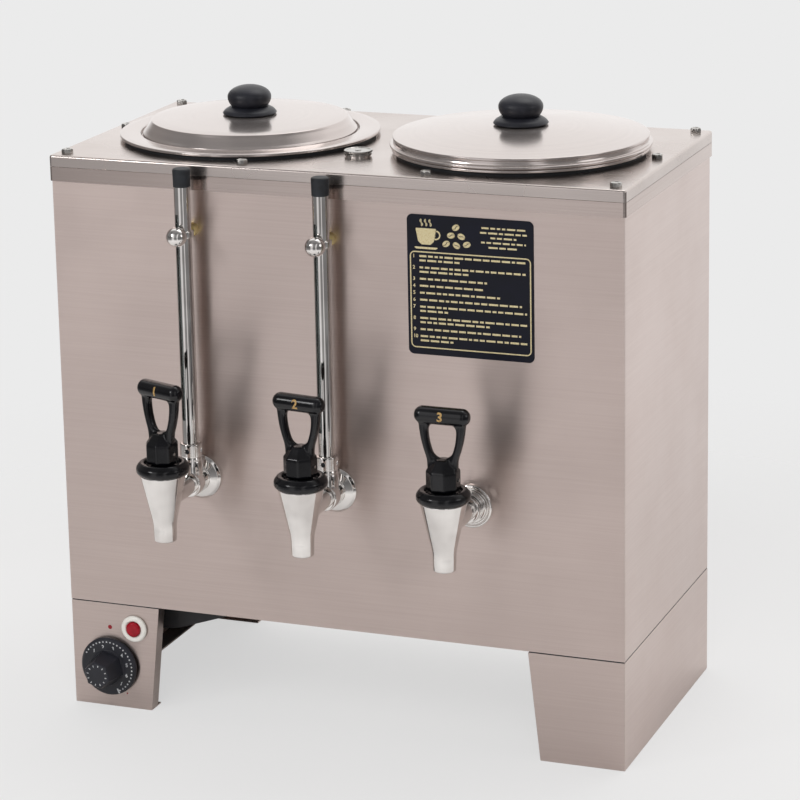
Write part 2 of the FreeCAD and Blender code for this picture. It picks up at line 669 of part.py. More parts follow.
def leg(side):
    """Open folded leg: outer side plate, front and back plates, returns and foot flanges."""
    near, far = panel_face, back - panel_inset
    depth = far - near
    top_z = leg_height - seam_gap

    def wedge(inset, slant_inset, y0, length, z0, z1):
        """Part of the tapered leg outline, pulled from front to back."""
        outer_x = panel_side - inset
        points = [(side * outer_x, z0), (side * (panel_side - leg_foot_width + slant_inset), z0),
                  (side * (panel_side - leg_top_width + slant_inset), z1), (side * outer_x, z1)]
        body = drawn(points, length, "XZ_Plane", None, True)
        return place(body, ZERO, y0 + length / 2, ZERO)

    shell = wedge(ZERO, ZERO, near, depth, ZERO, top_z)
    hollow = wedge(leg_sheet, leg_sheet, near + leg_sheet, depth - 2 * leg_sheet, leg_sheet, top_z + 1)
    middle = wedge(leg_sheet, -2 * leg_return, near + leg_return, depth - 2 * leg_return,
                   leg_sheet, top_z + 1)
    inner_edge = side * (panel_side - leg_top_width - leg_return)
    foot_x = side * (panel_side - leg_flange)
    x0, x1 = (foot_x, inner_edge) if side < 0 else (inner_edge, foot_x)
    foot = block(x0, x1, near + leg_flange, far - leg_flange, -1, leg_sheet + 1)
    tools = [hollow, middle, foot]
    if side < 0:
        tools.append(rod(shaft_radius + 1, leg_sheet + 2, -dial_x, near - 1, dial_z, "y"))
        tools.append(rod(lamp_barrel_radius + guide_gap, leg_sheet + 2, -lamp_x, near - 1, lamp_z, "y"))
        gland_low = far - leg_sheet - 1
        tools.append(rod(gland_thread + guide_gap, leg_sheet + 2, -gland_x, gland_low, gland_z, "y"))
    return cut(shell, *tools)


def water_tank():
    """Inner jacket tank, open at the top under the rim flange."""
    x = half_width - tank_inset
    y0, y1 = tank_front, back - tank_inset
    top = cover_height - cover_sheet - rim_sheet
    outer = slab(-x, x, y0, y1, tank_z, top, cover_corner)
    inner = block(-x + tank_sheet, x - tank_sheet, y0 + tank_sheet, y1 - tank_sheet,
                  tank_z + tank_sheet, top + 1)
    holes = [rod(spigot_radius, tank_sheet + 2, pot_x, y0 - 1, tap_height, "y")
             for pot_x in pot_places.values()]
    holes.append(rod(shank_radius + bolt_clearance, tank_sheet + 2, ZERO, y0 - 1, tap_height, "y"))
    for leg_x in heater_legs:
        holes.append(rod(heater_rod, tank_sheet + 2, leg_x, front + heater_y, tank_z - 1))
    holes.append(rod(sensor_gland, tank_sheet + 2, -dial_x, sensor_y, tank_z - 1))
    node("water_tank", cut(outer, inner, *holes))


def pot(name, rim_radius):
    """Turned pot with a lid ledge, a folded rim and an outlet tube at the front."""
    deck = cover_height
    rim_low = deck + pot_rim_top - pot_rim_edge
    out = pot_radius + pot_sheet
    wall = pot_mouth + pot_sheet
    ledge = deck + pot_ledge
    rim_top = deck + pot_rim_top
    floor_in = pot_floor + pot_sheet
    inner_round = pot_floor_round - pot_sheet
    shape = turned([
        (ZERO, pot_floor),
        *eased((out - pot_floor_round, pot_floor), (out, pot_floor), (out, pot_floor + pot_floor_round)),
        (out, ledge - pot_sheet), (wall, ledge - pot_sheet), (wall, rim_top - pot_sheet),
        (rim_radius - pot_sheet, rim_top - pot_sheet), (rim_radius - pot_sheet, rim_low),
        (rim_radius, rim_low), (rim_radius, rim_top), (pot_mouth, rim_top), (pot_mouth, ledge),
        (pot_radius, ledge),
        *eased((pot_radius, floor_in + inner_round), (pot_radius, floor_in),
               (pot_radius - inner_round, floor_in)),
        (ZERO, floor_in)])
    place(shape, pot_places[name], middle_y, ZERO)
    length = cover_depth / 2 - pot_radius - tank_inset + pot_sheet + 3
    tube = rod(spigot_radius, length, pot_places[name], tank_front, tap_height, "y")
    keep_out = rod(pot_radius + pot_sheet / 2, 4 * spigot_radius, pot_places[name], middle_y,
                   tap_height - 2 * spigot_radius)
    bore = rod(shank_radius + spigot_gap, length + 2, pot_places[name], tank_front - 1, tap_height, "y")
    node(f"{name}_pot", cut(fuse(shape, cut(tube, keep_out)), bore))


def pot_seals():
    """Rubber rings between the deck and the two pot rims."""
    rings = []
    for name, rim_radius in (("coffee", coffee_rim_radius), ("milk", milk_rim_radius)):
        height = pot_rim_top - pot_sheet
        outer = rod(rim_radius - seal_inset, height, pot_places[name], middle_y, cover_height)
        inner = rod(pot_mouth + pot_sheet, height + 2, pot_places[name], middle_y, cover_height - 1)
        rings.append(cut(outer, inner))
    group("pot_seals", rings)


def coffee_lid():
    """Raised lid that drops into the pot mouth and rests on the ledge."""
    deck = cover_height
    edge_z = deck + plug_lid_top
    foot_z = deck + pot_ledge + lid_seat_gap
    band_z = foot_z + plug_lid_shoulder
    top = plug_lid_radius
    inner_top = plug_lid_radius - lid_sheet
    shape = turned([
        *reversed(crown(inner_top, edge_z - lid_sheet, plug_lid_crown)),
        (plug_lid_foot - lid_sheet, band_z), (plug_lid_foot - lid_sheet, foot_z),
        (plug_lid_foot, foot_z), (plug_lid_foot, band_z),
        *crown(top, edge_z, plug_lid_crown)])
    place(shape, pot_places["coffee"], middle_y, ZERO)
    node("coffee_lid", shape)


def milk_lid():
    """Wide capped lid that rests on the pot rim, with a locating skirt inside."""
    deck = cover_height
    edge_z = deck + cap_lid_top
    seat = deck + pot_rim_top + lid_seat_gap
    bead_z = seat + cap_lid_brim_height
    top = cap_lid_radius
    inner = top - lid_sheet
    under = edge_z - lid_sheet
    shape = turned([
        *reversed(crown(inner, under, cap_lid_crown)),
        (inner, seat), (cap_lid_brim, seat), (cap_lid_brim, bead_z), (top, bead_z),
        *crown(top, edge_z, cap_lid_crown)])
    place(shape, pot_places["milk"], middle_y, ZERO)
    skirt_low = deck - cap_lid_skirt_depth
    skirt_height = edge_z + 2 * cap_lid_crown - skirt_low
    skirt = rod(cap_lid_skirt, skirt_height, pot_places["milk"], middle_y, skirt_low)
    skirt_hollow = rod(cap_lid_skirt - lid_sheet, skirt_height + 4, pot_places["milk"], middle_y,
                       skirt_low - 2)
    half = lid_sheet / 2
    under_dome = turned([
        (ZERO, skirt_low - 1), (top, skirt_low - 1),
        *crown(top, edge_z - half, cap_lid_crown)])
    place(under_dome, pot_places["milk"], middle_y, ZERO)
    node("milk_lid", fuse(shape, shared(cut(skirt, skirt_hollow), under_dome)))


def lid_knob(name, base_z):
    """Flared base, waist and flattened bulb."""
    waist = (knob_waist_radius, knob_waist_height)
    corner = (knob_bulb_radius, knob_waist_height)
    shape = turned([
        (ZERO, ZERO), (knob_base_radius, ZERO), (knob_base_radius, knob_base_edge),
        *eased(waist, corner, (knob_bulb_radius, knob_bulb_height))[:2],
        *dome(knob_bulb_radius, knob_bulb_height, knob_height)])
    place(shape, pot_places[name], middle_y, base_z)
    node(f"{name}_lid_knob", shape)


def filler():
    """Filler neck through the deck and its stepped cap."""
    x, y = ZERO, front + filler_y
    deck = cover_height
    neck = turned([
        (filler_bore, deck - filler_length), (filler_radius, deck - filler_length), (filler_radius, deck),
        (filler_flange, deck), (filler_flange, deck + filler_flange_height),
        (filler_bore, deck + filler_flange_height)])
    node("filler_neck", place(neck, x, y, ZERO))
    low = deck + filler_flange_height + part_gap
    cap = turned([
        (ZERO, low - filler_plug_length), (filler_plug, low - filler_plug_length), (filler_plug, low),
        (filler_cap_step, low), (filler_cap_step, low + filler_cap_height / 2),
        (filler_cap_radius, low + filler_cap_height / 2), (filler_cap_radius, low + filler_cap_height * 0.9),
        (filler_cap_radius * 0.93, low + filler_cap_height), (ZERO, low + filler_cap_height)])
    node("filler_cap", place(cap, x, y, ZERO))


def tap_body(name):
    """Cone with outlet tube, valve cavity, threaded neck and wall shank."""
    x = tap_places[name]
    z = tap_height
    cone = turned([
        (tap_passage, -tap_outlet_drop), (tap_outlet_radius, -tap_outlet_drop),
        (tap_outlet_radius, -tap_cone_drop), (tap_body_radius, tap_body_rise),
        (tap_neck_radius, tap_body_rise), (tap_neck_radius, tap_neck_rise),
        (tap_cavity_radius, tap_neck_rise), (tap_cavity_radius, -tap_seat_drop),
        (tap_passage, -tap_seat_drop)])
    place(cone, x, tap_y, z)
    length = tap_reach + shank_inside
    shank = rod(shank_radius, length, x, tap_y, z, "y")
    core = rod(tap_cavity_radius + 1, tap_body_rise + tap_seat_drop, x, tap_y, z - tap_seat_drop)
    cavity = rod(tap_cavity_radius, tap_body_rise + tap_seat_drop + 20, x, tap_y, z - tap_seat_drop)
    passage = rod(tap_passage, tap_outlet_drop + 5, x, tap_y, z - tap_outlet_drop - 1)
    bore = rod(shank_bore, length + 1, x, tap_y, z, "y")
    node(f"{name}_tap_body", cut(fuse(cone, cut(shank, core)), cavity, passage, bore))


def wall_fittings():
    """Chrome wall flanges in front of the panel and lock nuts behind it."""
    flanges, nuts = [], []
    inner = escutcheon_radius - escutcheon_sheet
    shoulder = escutcheon_radius * 0.72
    collar = shank_radius + 2 * escutcheon_sheet
    hole = shank_radius + guide_gap
    for x in tap_places.values():
        flange = turned([
            (inner, ZERO), (escutcheon_radius, ZERO),
            *eased((escutcheon_radius, escutcheon_sheet * 1.4), (escutcheon_radius, escutcheon_depth * 0.55),
                   (shoulder, escutcheon_depth * 0.62)),
            (collar, escutcheon_depth * 0.72), (collar, escutcheon_depth), (hole, escutcheon_depth),
            (hole, escutcheon_depth * 0.72 - escutcheon_sheet),
            (shoulder - escutcheon_sheet * 0.7, escutcheon_depth * 0.62 - escutcheon_sheet),
            (inner, escutcheon_sheet * 1.4)])
        flanges.append(place(flange, x, panel_face, tap_height, 90, (1, 0, 0)))
        nut = doc.addObject("Part::Prism", "Nut")
        nut.Polygon = 6
        bind(nut, "Circumradius", shank_nut_flats / math.sqrt(3))
        bind(nut, "Height", shank_nut_height)
        place(nut, x, panel_face + panel_sheet, tap_height, -90, (1, 0, 0))
        nut_hole = rod(shank_radius, shank_nut_height + 2, x, panel_face, tap_height, "y")
        nuts.append(cut(nut, nut_hole))
    group("escutcheons", flanges)
    group("shank_nuts", nuts)


def bonnets():
    """Black grip rings screwed over the tap necks, with the stem guide in their roof."""
    rings = []
    top = bonnet_height
    edge = bonnet_radius - bonnet_round
    low_round = bonnet_height / 2
    for x in tap_places.values():
        ring = turned([
            (tap_neck_radius, ZERO),
            *eased((bonnet_radius - low_round, ZERO), (bonnet_radius, ZERO), (bonnet_radius, low_round)),
            *eased((bonnet_radius, top - bonnet_round), (bonnet_radius, top), (edge, top)),
            (stem_radius + guide_gap, top), (stem_radius + guide_gap, top - bonnet_roof),
            (tap_neck_radius, top - bonnet_roof)])
        rings.append(place(ring, x, tap_y, cone_top))
    group("bonnets", rings)


handle_turns = {"coffee": coffee_handle_turn, "water": water_handle_turn, "milk": milk_handle_turn}


def across(cylinder, name, start):
    """Lay a cylinder along the tilt axis of one handle, from a start along that axis."""
    turn = handle_turns[name]
    spin = FreeCAD.Rotation(FreeCAD.Vector(0, 0, 1), -turn.value)
    lay = FreeCAD.Rotation(FreeCAD.Vector(0, 1, 0), 90)
    cylinder.Placement = FreeCAD.Placement(FreeCAD.Vector(), spin.multiply(lay))
    bind(cylinder, "Placement.Base.x",
         Size(0, f"({tap_places[name].text} + {as_size(start).text} * cos({turn.text} * 1 deg))"))
    bind(cylinder, "Placement.Base.y",
         Size(0, f"({tap_y.text} - {as_size(start).text} * sin({turn.text} * 1 deg))"))
    bind(cylinder, "Placement.Base.z", pin_z)
    return cylinder


def valve(name):
    """Thrust washer, stem, seat cup and spring of one tap."""
    x = tap_places[name]
    washer = cut(rod(washer_radius, washer_height, x, tap_y, bonnet_top + part_gap),
                 rod(stem_radius + stem_room, washer_height + 2, x, tap_y, bonnet_top - 1))
    node(f"{name}_thrust_washer", washer)
    cup_z = seat_z + seat_gap
    stem_low = cup_z + seat_cup_height - seat_cup_socket
    stem = rod(stem_radius, pin_z + 2 * pin_radius - stem_low, x, tap_y, stem_low)
    cross = doc.addObject("Part::Cylinder", "Cross")
    bind(cross, "Radius", pin_radius + guide_gap)
    bind(cross, "Height", 4 * stem_radius)
    across(cross, name, -2 * stem_radius)
    node(f"{name}_stem", cut(stem, cross))
    cup = turned([
        (ZERO, ZERO), (seat_cup_radius * 0.8, ZERO), (seat_cup_radius, seat_cup_height * 0.25),
        (seat_cup_radius, seat_cup_height * 0.6), (spring_radius, seat_cup_height),
        (stem_radius, seat_cup_height), (stem_radius, seat_cup_height - seat_cup_socket),
        (ZERO, seat_cup_height - seat_cup_socket)])
    node(f"{name}_seat_cup", place(cup, x, tap_y, cup_z))
    spring_low = cup_z + seat_cup_height + part_gap
    spring_high = bonnet_top - bonnet_roof - part_gap
    tube = rod(spring_radius, spring_high - spring_low, x, tap_y, spring_low)
    core = rod(spring_radius - spring_wire, spring_high - spring_low + 2, x, tap_y, spring_low - 1)
    node(f"{name}_spring", cut(tube, core))


def handle(name):
    """Stirrup handle: hub with a slotted underside, tapered loop and grip bar, with its pin."""
    body = turned([
        (ZERO, ZERO), (hub_heel_radius, ZERO), (hub_radius, hub_heel_rise),
        (hub_radius, hub_height - 2), (hub_radius - 2, hub_height), (ZERO, hub_height)])
    loop_low = hub_height - hub_heel_rise
    drawn([(-loop_root, loop_low), (loop_root, loop_low), (loop_root, hub_height),
           (loop_shoulder, loop_window_top - bar_radius), (loop_shoulder, bar_height),
           (-loop_shoulder, bar_height), (-loop_shoulder, loop_window_top - bar_radius),
           (-loop_root, hub_height)], loop_thickness, "XZ_Plane", None, True, body)
    bar = new_body("Bar")
    neck = bar_radius - bar_end_round
    turned([
        (ZERO, -bar_half),
        *eased((neck, -bar_half), (bar_radius, -bar_half), (bar_radius, -bar_half + bar_end_round)),
        *eased((bar_radius, bar_half - bar_end_round), (bar_radius, bar_half), (neck, bar_half)),
        (ZERO, bar_half)], bar)
    place(bar, ZERO, ZERO, bar_height, 90, (0, 1, 0))
    window_low = loop_window_bottom + loop_window_low_half
    window = drawn([
        (-loop_window_low_half, window_low),
        Bow(ZERO, loop_window_bottom, loop_window_low_half, -1),
        Bow(loop_window_low_half, window_low, loop_window_low_half, -1),
        (loop_window_top_half, loop_window_top - loop_window_round),
        Bow(loop_window_top_half - loop_window_round, loop_window_top, loop_window_round, -1),
        (-loop_window_top_half + loop_window_round, loop_window_top),
        Bow(-loop_window_top_half, loop_window_top - loop_window_round, loop_window_round, -1)],
        3 * loop_thickness)
    slot_x = stem_radius + stem_room
    slot_front = hub_heel_radius + 1.5
    slot = block(-slot_x, slot_x, -slot_front, slot_x + pin_radius, -1, pin_height + 2 * pin_radius + 2)
    pin_hole = rod(pin_radius, 2 * hub_radius + 2, -hub_radius - 1, ZERO, pin_height, "x")
    shape = cut(fuse(body, bar), window, slot, pin_hole)
    place(shape, tap_places[name], tap_y, heel_z, -handle_turns[name])
    node(f"{name}_handle", shape)
    pin = doc.addObject("Part::Cylinder", "Pin")
    bind(pin, "Radius", pin_radius)
    bind(pin, "Height", 2 * hub_radius - 1)
    node(f"{name}_handle_pin", across(pin, name, -hub_radius + 0.5))


def gauges():
    """Level gauges on the coffee and water shanks: tee, nut, glass, guard, clip and cap."""
    tees, gauge_nuts, glasses, guards, clips, spacers, domes = [], [], [], [], [], [], []
    y, z = gauge_y, tap_height
    nut_z = z + tee_stub_rise
    guard_z = nut_z + 2
    guard_end = cover_height - guard_top
    guard_length = guard_end - guard_z
    ring_out = guard_radius + clip_wall
    for name, x in gauge_places.items():
        collar_y = y + tee_stub_radius - seam_gap - tee_collar_length
        collar = rod(tee_collar_radius, tee_collar_length, x, collar_y, z, "y")
        stub = rod(tee_stub_radius, tee_stub_rise, x, y, z)
        shank_hole = rod(shank_radius, tee_collar_length * 2, x, y - tee_collar_length, z, "y")
        glass_hole = rod(glass_radius + guide_gap, tee_stub_rise + 1, x, y, z + shank_radius)
        tees.append(cut(fuse(collar, stub), shank_hole, glass_hole))
        nut = rod(gauge_nut_radius, gauge_nut_height, x, y, nut_z)
        nut_low = rod(glass_radius + guide_gap, 4, x, y, nut_z - 1)
        nut_high = rod(guard_radius, gauge_nut_height, x, y, guard_z)
        dimples = [rod(gauge_nut_hole, 2 * gauge_nut_radius, x - gauge_nut_radius, y,
                       nut_z + gauge_nut_height / 2, "x"),
                   rod(gauge_nut_hole, 2 * gauge_nut_radius, x, y - gauge_nut_radius,
                       nut_z + gauge_nut_height / 2, "y")]
        gauge_nuts.append(cut(nut, nut_low, nut_high, *dimples))
        glass_z = z + shank_radius + 6
        glass_length = guard_end - 4 - glass_z
        glasses.append(cut(rod(glass_radius, glass_length, x, y, glass_z),
                           rod(glass_radius - glass_wall, glass_length + 2, x, y, glass_z - 1)))
        slot_low = guard_z + gauge_nut_height + guard_slot_margin
        slot_high = guard_end - gauge_cap_height - guard_slot_margin
        slot = block(-guard_slot_width / 2, guard_slot_width / 2, -2 * guard_radius, ZERO,
                     slot_low, slot_high)
        carrier = fuse(slot, rod(guard_radius - guard_wall, guard_length + 2, ZERO, ZERO, guard_z - 1))
        place(carrier, x, y, ZERO, -guard_slot_turn)
        guards.append(cut(rod(guard_radius, guard_length, x, y, guard_z), carrier))
        ring = rod(ring_out, clip_width, x, y, clip_height - clip_width / 2)
        lug = rod(stud_radius + 0.6, ring_out + 1.5, x, y - ring_out - 1.5, clip_height, "y")
        hole = rod(guard_radius, clip_width * 3, x, y, clip_height - clip_width * 1.5)
        clips.append(cut(fuse(ring, lug), hole))
        flat = dome_centre - ring_out - 0.4
        nut_body = turned([
            (ZERO, dome_socket - flat), (stud_radius + 0.6, dome_socket - flat), (stud_radius + 0.6, -flat),
            (dome_radius * 0.84, -flat), *dome(dome_radius, ZERO, dome_radius, 5)])
        domes.append(place(nut_body, x, y - dome_centre, clip_height, 90, (1, 0, 0)))
        spacer = rod(spacer_radius, gauge_reach - ring_out + panel_inset, x, y + ring_out, clip_height, "y")
        spacers.append(spacer)
        cap_z = guard_end + gauge_cap_roof - gauge_cap_height
        cap = turned([
            (ZERO, gauge_cap_height), (ZERO, gauge_cap_height - gauge_cap_roof),
            (guard_radius + 2 * guide_gap, gauge_cap_height - gauge_cap_roof),
            (guard_radius + 2 * guide_gap, ZERO), (gauge_cap_foot, ZERO),
            (gauge_cap_radius, gauge_cap_height - 1.5), (gauge_cap_radius - 1.5, gauge_cap_height)])
        node(f"{name}_gauge_cap", place(cap, x, y, cap_z))
    group("gauge_tees", tees)
    group("gauge_nuts", gauge_nuts)
    group("gauge_glasses", glasses)
    group("gauge_guards", guards)
    group("gauge_clips", clips)
    group("gauge_spacers", spacers)
    group("gauge_dome_nuts", domes)


def label_plate():
    """Rounded plate on the front panel."""
    body = new_body()
    x0, x1 = label_x - label_width / 2, label_x + label_width / 2
    z0, z1 = label_z - label_height / 2, label_z + label_height / 2
    drawn([(x0, z0), (x1, z0), (x1, z1), (x0, z1)], label_sheet, "XZ_Plane", None, True, body)
    rounded(body, label_corner, "y")
    node("label_plate", place(body, ZERO, panel_face - label_sheet / 2, ZERO))


# The two heater rod legs and the sensor stand in line along the left side of the tank
heater_legs = [-heater_x - heater_pitch / 2, -heater_x + heater_pitch / 2]
sensor_y = front + heater_y + heater_flange + sensor_gland + 12


def bend(radius, x, y, z, start, sweep):
    """Part of a ring of heater rod in an upright plane, from a start angle."""
    ring = doc.addObject("Part::Torus", "Bend")
    bind(ring, "Radius1", radius)
    bind(ring, "Radius2", heater_rod)
    ring.Angle3 = sweep
    stand = FreeCAD.Rotation(FreeCAD.Vector(1, 0, 0), 90)
    spin = FreeCAD.Rotation(FreeCAD.Vector(0, 0, 1), start)
    ring.Placement = FreeCAD.Placement(FreeCAD.Vector(), stand.multiply(spin))
    for name, value in (("x", x), ("y", y), ("z", z)):
        bind(ring, f"Placement.Base.{name}", value)
    return ring


def heating_element():
    """Hairpin immersion heater on a round flange under the tank floor."""
    y = front + heater_y
    outer, inner = heater_legs
    low = tank_z + heater_low
    high = low + heater_pitch
    corner = heater_bend
    turn = heater_pitch / 2
    start = tank_z - heater_flange_height
    right = heater_reach
    pieces = [
        rod(heater_flange, heater_flange_height, -heater_x, y, start),
        rod(heater_rod, high - corner - start - 1, outer, y, start + 1),
        bend(corner, outer + corner, y, high - corner, 90, 90),
        rod(heater_rod, right - outer - corner, outer + corner, y, high, "x"),
        bend(turn, right, y, low + turn, -90, 180),
        rod(heater_rod, right - inner - corner, inner + corner, y, low, "x"),
        bend(corner, inner + corner, y, low - corner, 90, 90),
        rod(heater_rod, low - corner - start - 1, inner, y, start + 1)]
    pieces += [rod(heater_pin, heater_pin_length + 1, x, y, start - heater_pin_length) for x in heater_legs]
    node("heating_element", fuse(*pieces))


def terminal_cover():
    """Folded cover over the heater terminals, open at the top, with one sloped end."""
    left = -heater_x - heater_flange - 4
    right = -cover_box_right
    low = leg_height - cover_box_height
    outline_points = [(left, low), (right - cover_box_slope, low), (right, leg_height - 4 * cover_box_sheet),
                      (right, leg_height - part_gap), (left, leg_height - part_gap)]
    wall = cover_box_sheet
    hollow_points = [(left + wall, low + wall), (right - cover_box_slope - wall / 2, low + wall),
                     (right - wall, leg_height - 4 * wall + wall / 2),
                     (right - wall, leg_height + 1), (left + wall, leg_height + 1)]
    y = front + cover_box_front + cover_box_depth / 2
    outer = place(drawn(outline_points, cover_box_depth), ZERO, y, ZERO)
    hollow = place(drawn(hollow_points, cover_box_depth - 2 * wall), ZERO, y, ZERO)
    node("terminal_cover", cut(outer, hollow))


def controls():
    """Thermostat with its sensor, its shaft and dial, the pilot lamp and the cable gland."""
    plate = panel_face
    inside = plate + leg_sheet
    box = block(-dial_x - thermostat_width / 2, -dial_x + thermostat_width / 2, inside,
                inside + thermostat_depth, dial_z - thermostat_height / 2, dial_z + thermostat_height / 2)
    bulb_z = tank_z + tank_sheet + 6
    tube_y = inside + thermostat_depth - 3 * capillary_radius
    rise = leg_height - dial_z - thermostat_height / 2 - 14
    tube_low = rod(capillary_radius, rise, -dial_x, tube_y, dial_z + thermostat_height / 2)
    bend_z = dial_z + thermostat_height / 2 + rise
    tube_along = rod(capillary_radius, sensor_y - tube_y + capillary_radius, -dial_x, tube_y - capillary_radius,
                     bend_z, "y")
    tube_high = rod(capillary_radius, tank_z - bend_z + 2, -dial_x, sensor_y, bend_z)
    gland = rod(sensor_gland, sensor_gland_height + tank_sheet, -dial_x, sensor_y,
                tank_z - sensor_gland_height)
    bulb = rod(sensor_radius, sensor_length, -dial_x, sensor_y, tank_z)
    shaft_way = rod(shaft_radius + guide_gap, thermostat_depth - 4, -dial_x, inside - 1, dial_z, "y")
    node("thermostat_body", cut(fuse(box, tube_low, tube_along, tube_high, gland, bulb), shaft_way))
    dial_back = plate - dial_gap
    dial_front = dial_back - dial_skirt
    shaft_start = dial_back - shaft_socket
    node("thermostat_shaft", rod(shaft_radius, inside + thermostat_depth - 6 - shaft_start, -dial_x,
                                 shaft_start, dial_z, "y"))
    bevel = dial_skirt * 0.35
    dial = turned([
        (shaft_radius, ZERO), (dial_radius, ZERO), (dial_radius, dial_skirt - bevel),
        (dial_radius - bevel, dial_skirt), (dial_grip_radius + 1.5, dial_skirt + 0.5),
        (dial_grip_radius, dial_skirt + 4), (dial_grip_radius - 0.8, dial_skirt + dial_grip - 1.5),
        (dial_grip_radius - 2.3, dial_skirt + dial_grip), (ZERO, dial_skirt + dial_grip),
        (ZERO, shaft_socket), (shaft_radius, shaft_socket)])
    node("thermostat_dial", place(dial, -dial_x, dial_back, dial_z, 90, (1, 0, 0)))
    bezel = turned([
        (lens_radius + guide_gap, lens_dome - lens_depth), (lamp_barrel_radius, lens_dome - lens_depth),
        (lamp_barrel_radius, ZERO), (lamp_bezel_radius, ZERO),
        (lamp_bezel_radius, lamp_bezel_depth * 0.5), (lamp_bezel_radius - 1.5, lamp_bezel_depth),
        (lens_radius + guide_gap, lamp_bezel_depth)])
    barrel = rod(lamp_barrel_radius, lamp_barrel_length, -lamp_x, plate - lens_dome + lens_depth, lamp_z, "y")
    place(bezel, -lamp_x, plate, lamp_z, 90, (1, 0, 0))
    node("lamp_bezel", fuse(bezel, barrel))
    lens = turned([
        (ZERO, lens_dome - lens_depth + 0.2), (lens_radius, lens_dome - lens_depth + 0.2),
        *dome(lens_radius, lamp_bezel_depth, lamp_bezel_depth + lens_dome, 3)])
    node("lamp_lens", place(lens, -lamp_x, plate, lamp_z, 90, (1, 0, 0)))
    outside = back - panel_inset
    gland_body = turned([
        (gland_bore, -gland_thread_length - leg_sheet), (gland_thread, -gland_thread_length - leg_sheet),
        (gland_thread, ZERO), (gland_radius, ZERO), (gland_radius, gland_reach * 0.5),
        (gland_radius * 0.75, gland_reach), (gland_bore, gland_reach)])
    node("cable_gland", place(gland_body, -gland_x, outside, gland_z, -90, (1, 0, 0)))


top_deck()
rim_frame()
deck_bolts()
casing()
node("left_leg", leg(-1))
node("right_leg", leg(1))
water_tank()
pot("coffee", coffee_rim_radius)
pot("milk", milk_rim_radius)
pot_seals()
coffee_lid()
milk_lid()
lid_knob("coffee", cover_height + plug_lid_top + plug_lid_crown)
lid_knob("milk", cover_height + cap_lid_top + cap_lid_crown)
filler()
wall_fittings()
bonnets()
for tap in tap_places:
    tap_body(tap)
    valve(tap)
    handle(tap)
gauges()
label_plate()
heating_element()
terminal_cover()
controls()

doc.recompute()

for item in doc.Objects:
    if "Invalid" in item.State or "Error" in item.State:
        raise RuntimeError(f"{item.Label} ({item.Name}) did not build")
for item in nodes:
    shape = item.Shape
    if shape.isNull() or not shape.isValid():
        raise RuntimeError(f"{item.Label} has no valid shape")

os.makedirs("parts", exist_ok=True)
for item in nodes:
    item.Shape.exportStep(f"parts/{item.Label}.step")
print(len(nodes), "sub-parts written")
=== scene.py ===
"""Double coffee urn: the outer surfaces, finishes, print and stage built on its packed frame."""

import math

import bmesh
import bpy
import numpy as np
from mathutils import Matrix, Vector


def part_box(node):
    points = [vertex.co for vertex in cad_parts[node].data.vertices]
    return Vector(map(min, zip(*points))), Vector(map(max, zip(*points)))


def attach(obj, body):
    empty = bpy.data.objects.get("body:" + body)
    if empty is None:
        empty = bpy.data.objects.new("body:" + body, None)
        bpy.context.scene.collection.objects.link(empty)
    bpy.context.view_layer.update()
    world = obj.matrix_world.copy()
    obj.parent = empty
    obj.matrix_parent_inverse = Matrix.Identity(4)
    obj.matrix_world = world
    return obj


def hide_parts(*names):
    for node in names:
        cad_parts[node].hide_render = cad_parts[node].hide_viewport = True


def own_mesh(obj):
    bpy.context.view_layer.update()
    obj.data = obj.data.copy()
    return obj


bl_info = {
    "name": "Double coffee urn",
    "version": (1, 0, 0),
    "blender": (4, 5, 0),
    "location": "3D View > Sidebar > Urn",
    "description": "Builds the urn's lids, taps, gauges, print, finishes and stage on its frame",
    "category": "Object",
}

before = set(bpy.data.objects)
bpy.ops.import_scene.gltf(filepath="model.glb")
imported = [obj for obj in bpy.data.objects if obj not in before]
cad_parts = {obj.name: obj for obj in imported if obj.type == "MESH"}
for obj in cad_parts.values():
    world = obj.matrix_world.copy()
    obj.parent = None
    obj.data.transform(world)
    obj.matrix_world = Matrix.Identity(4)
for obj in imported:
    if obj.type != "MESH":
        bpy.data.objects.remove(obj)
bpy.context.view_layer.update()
MM = 0.001
TAU = 2 * math.pi
TAPS = ("coffee", "water", "milk")
UP, FORWARD, BACKWARD = (0, 0, 1), (0, -1, 0), (0, 1, 0)


def span(node):
    """Lowest and highest corner of a frame node, in millimetres."""
    low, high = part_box(node)
    return np.array(low) / MM, np.array(high) / MM


def middle(node):
    """Middle of a frame node's box, in millimetres."""
    low, high = span(node)
    return (low + high) / 2


# Colours

def linear(code):
    """An sRGB hex colour as linear red, green, blue and full alpha."""
    parts = np.array([int(code[i:i + 2], 16) for i in (1, 3, 5)]) / 255
    light = np.where(parts <= 0.04045, parts / 12.92, ((parts + 0.055) / 1.055) ** 2.4)
    return (*light.tolist(), 1.0)


# Curves and surfaces worked out as arrays, in millimetres

def profile(*corners, steps=7):
    """Line through (radius, height, rounding) corners, each turned by an arc tangent to both its sides."""
    spots = np.array([corner[:2] for corner in corners], float)
    runs = [spots[:1]]
    for i in range(1, len(corners) - 1):
        runs.append(arc(spots[i - 1], spots[i], spots[i + 1], corners[i][2] if len(corners[i]) > 2 else 0,
                        steps))
    return np.vstack([*runs, spots[-1:]])


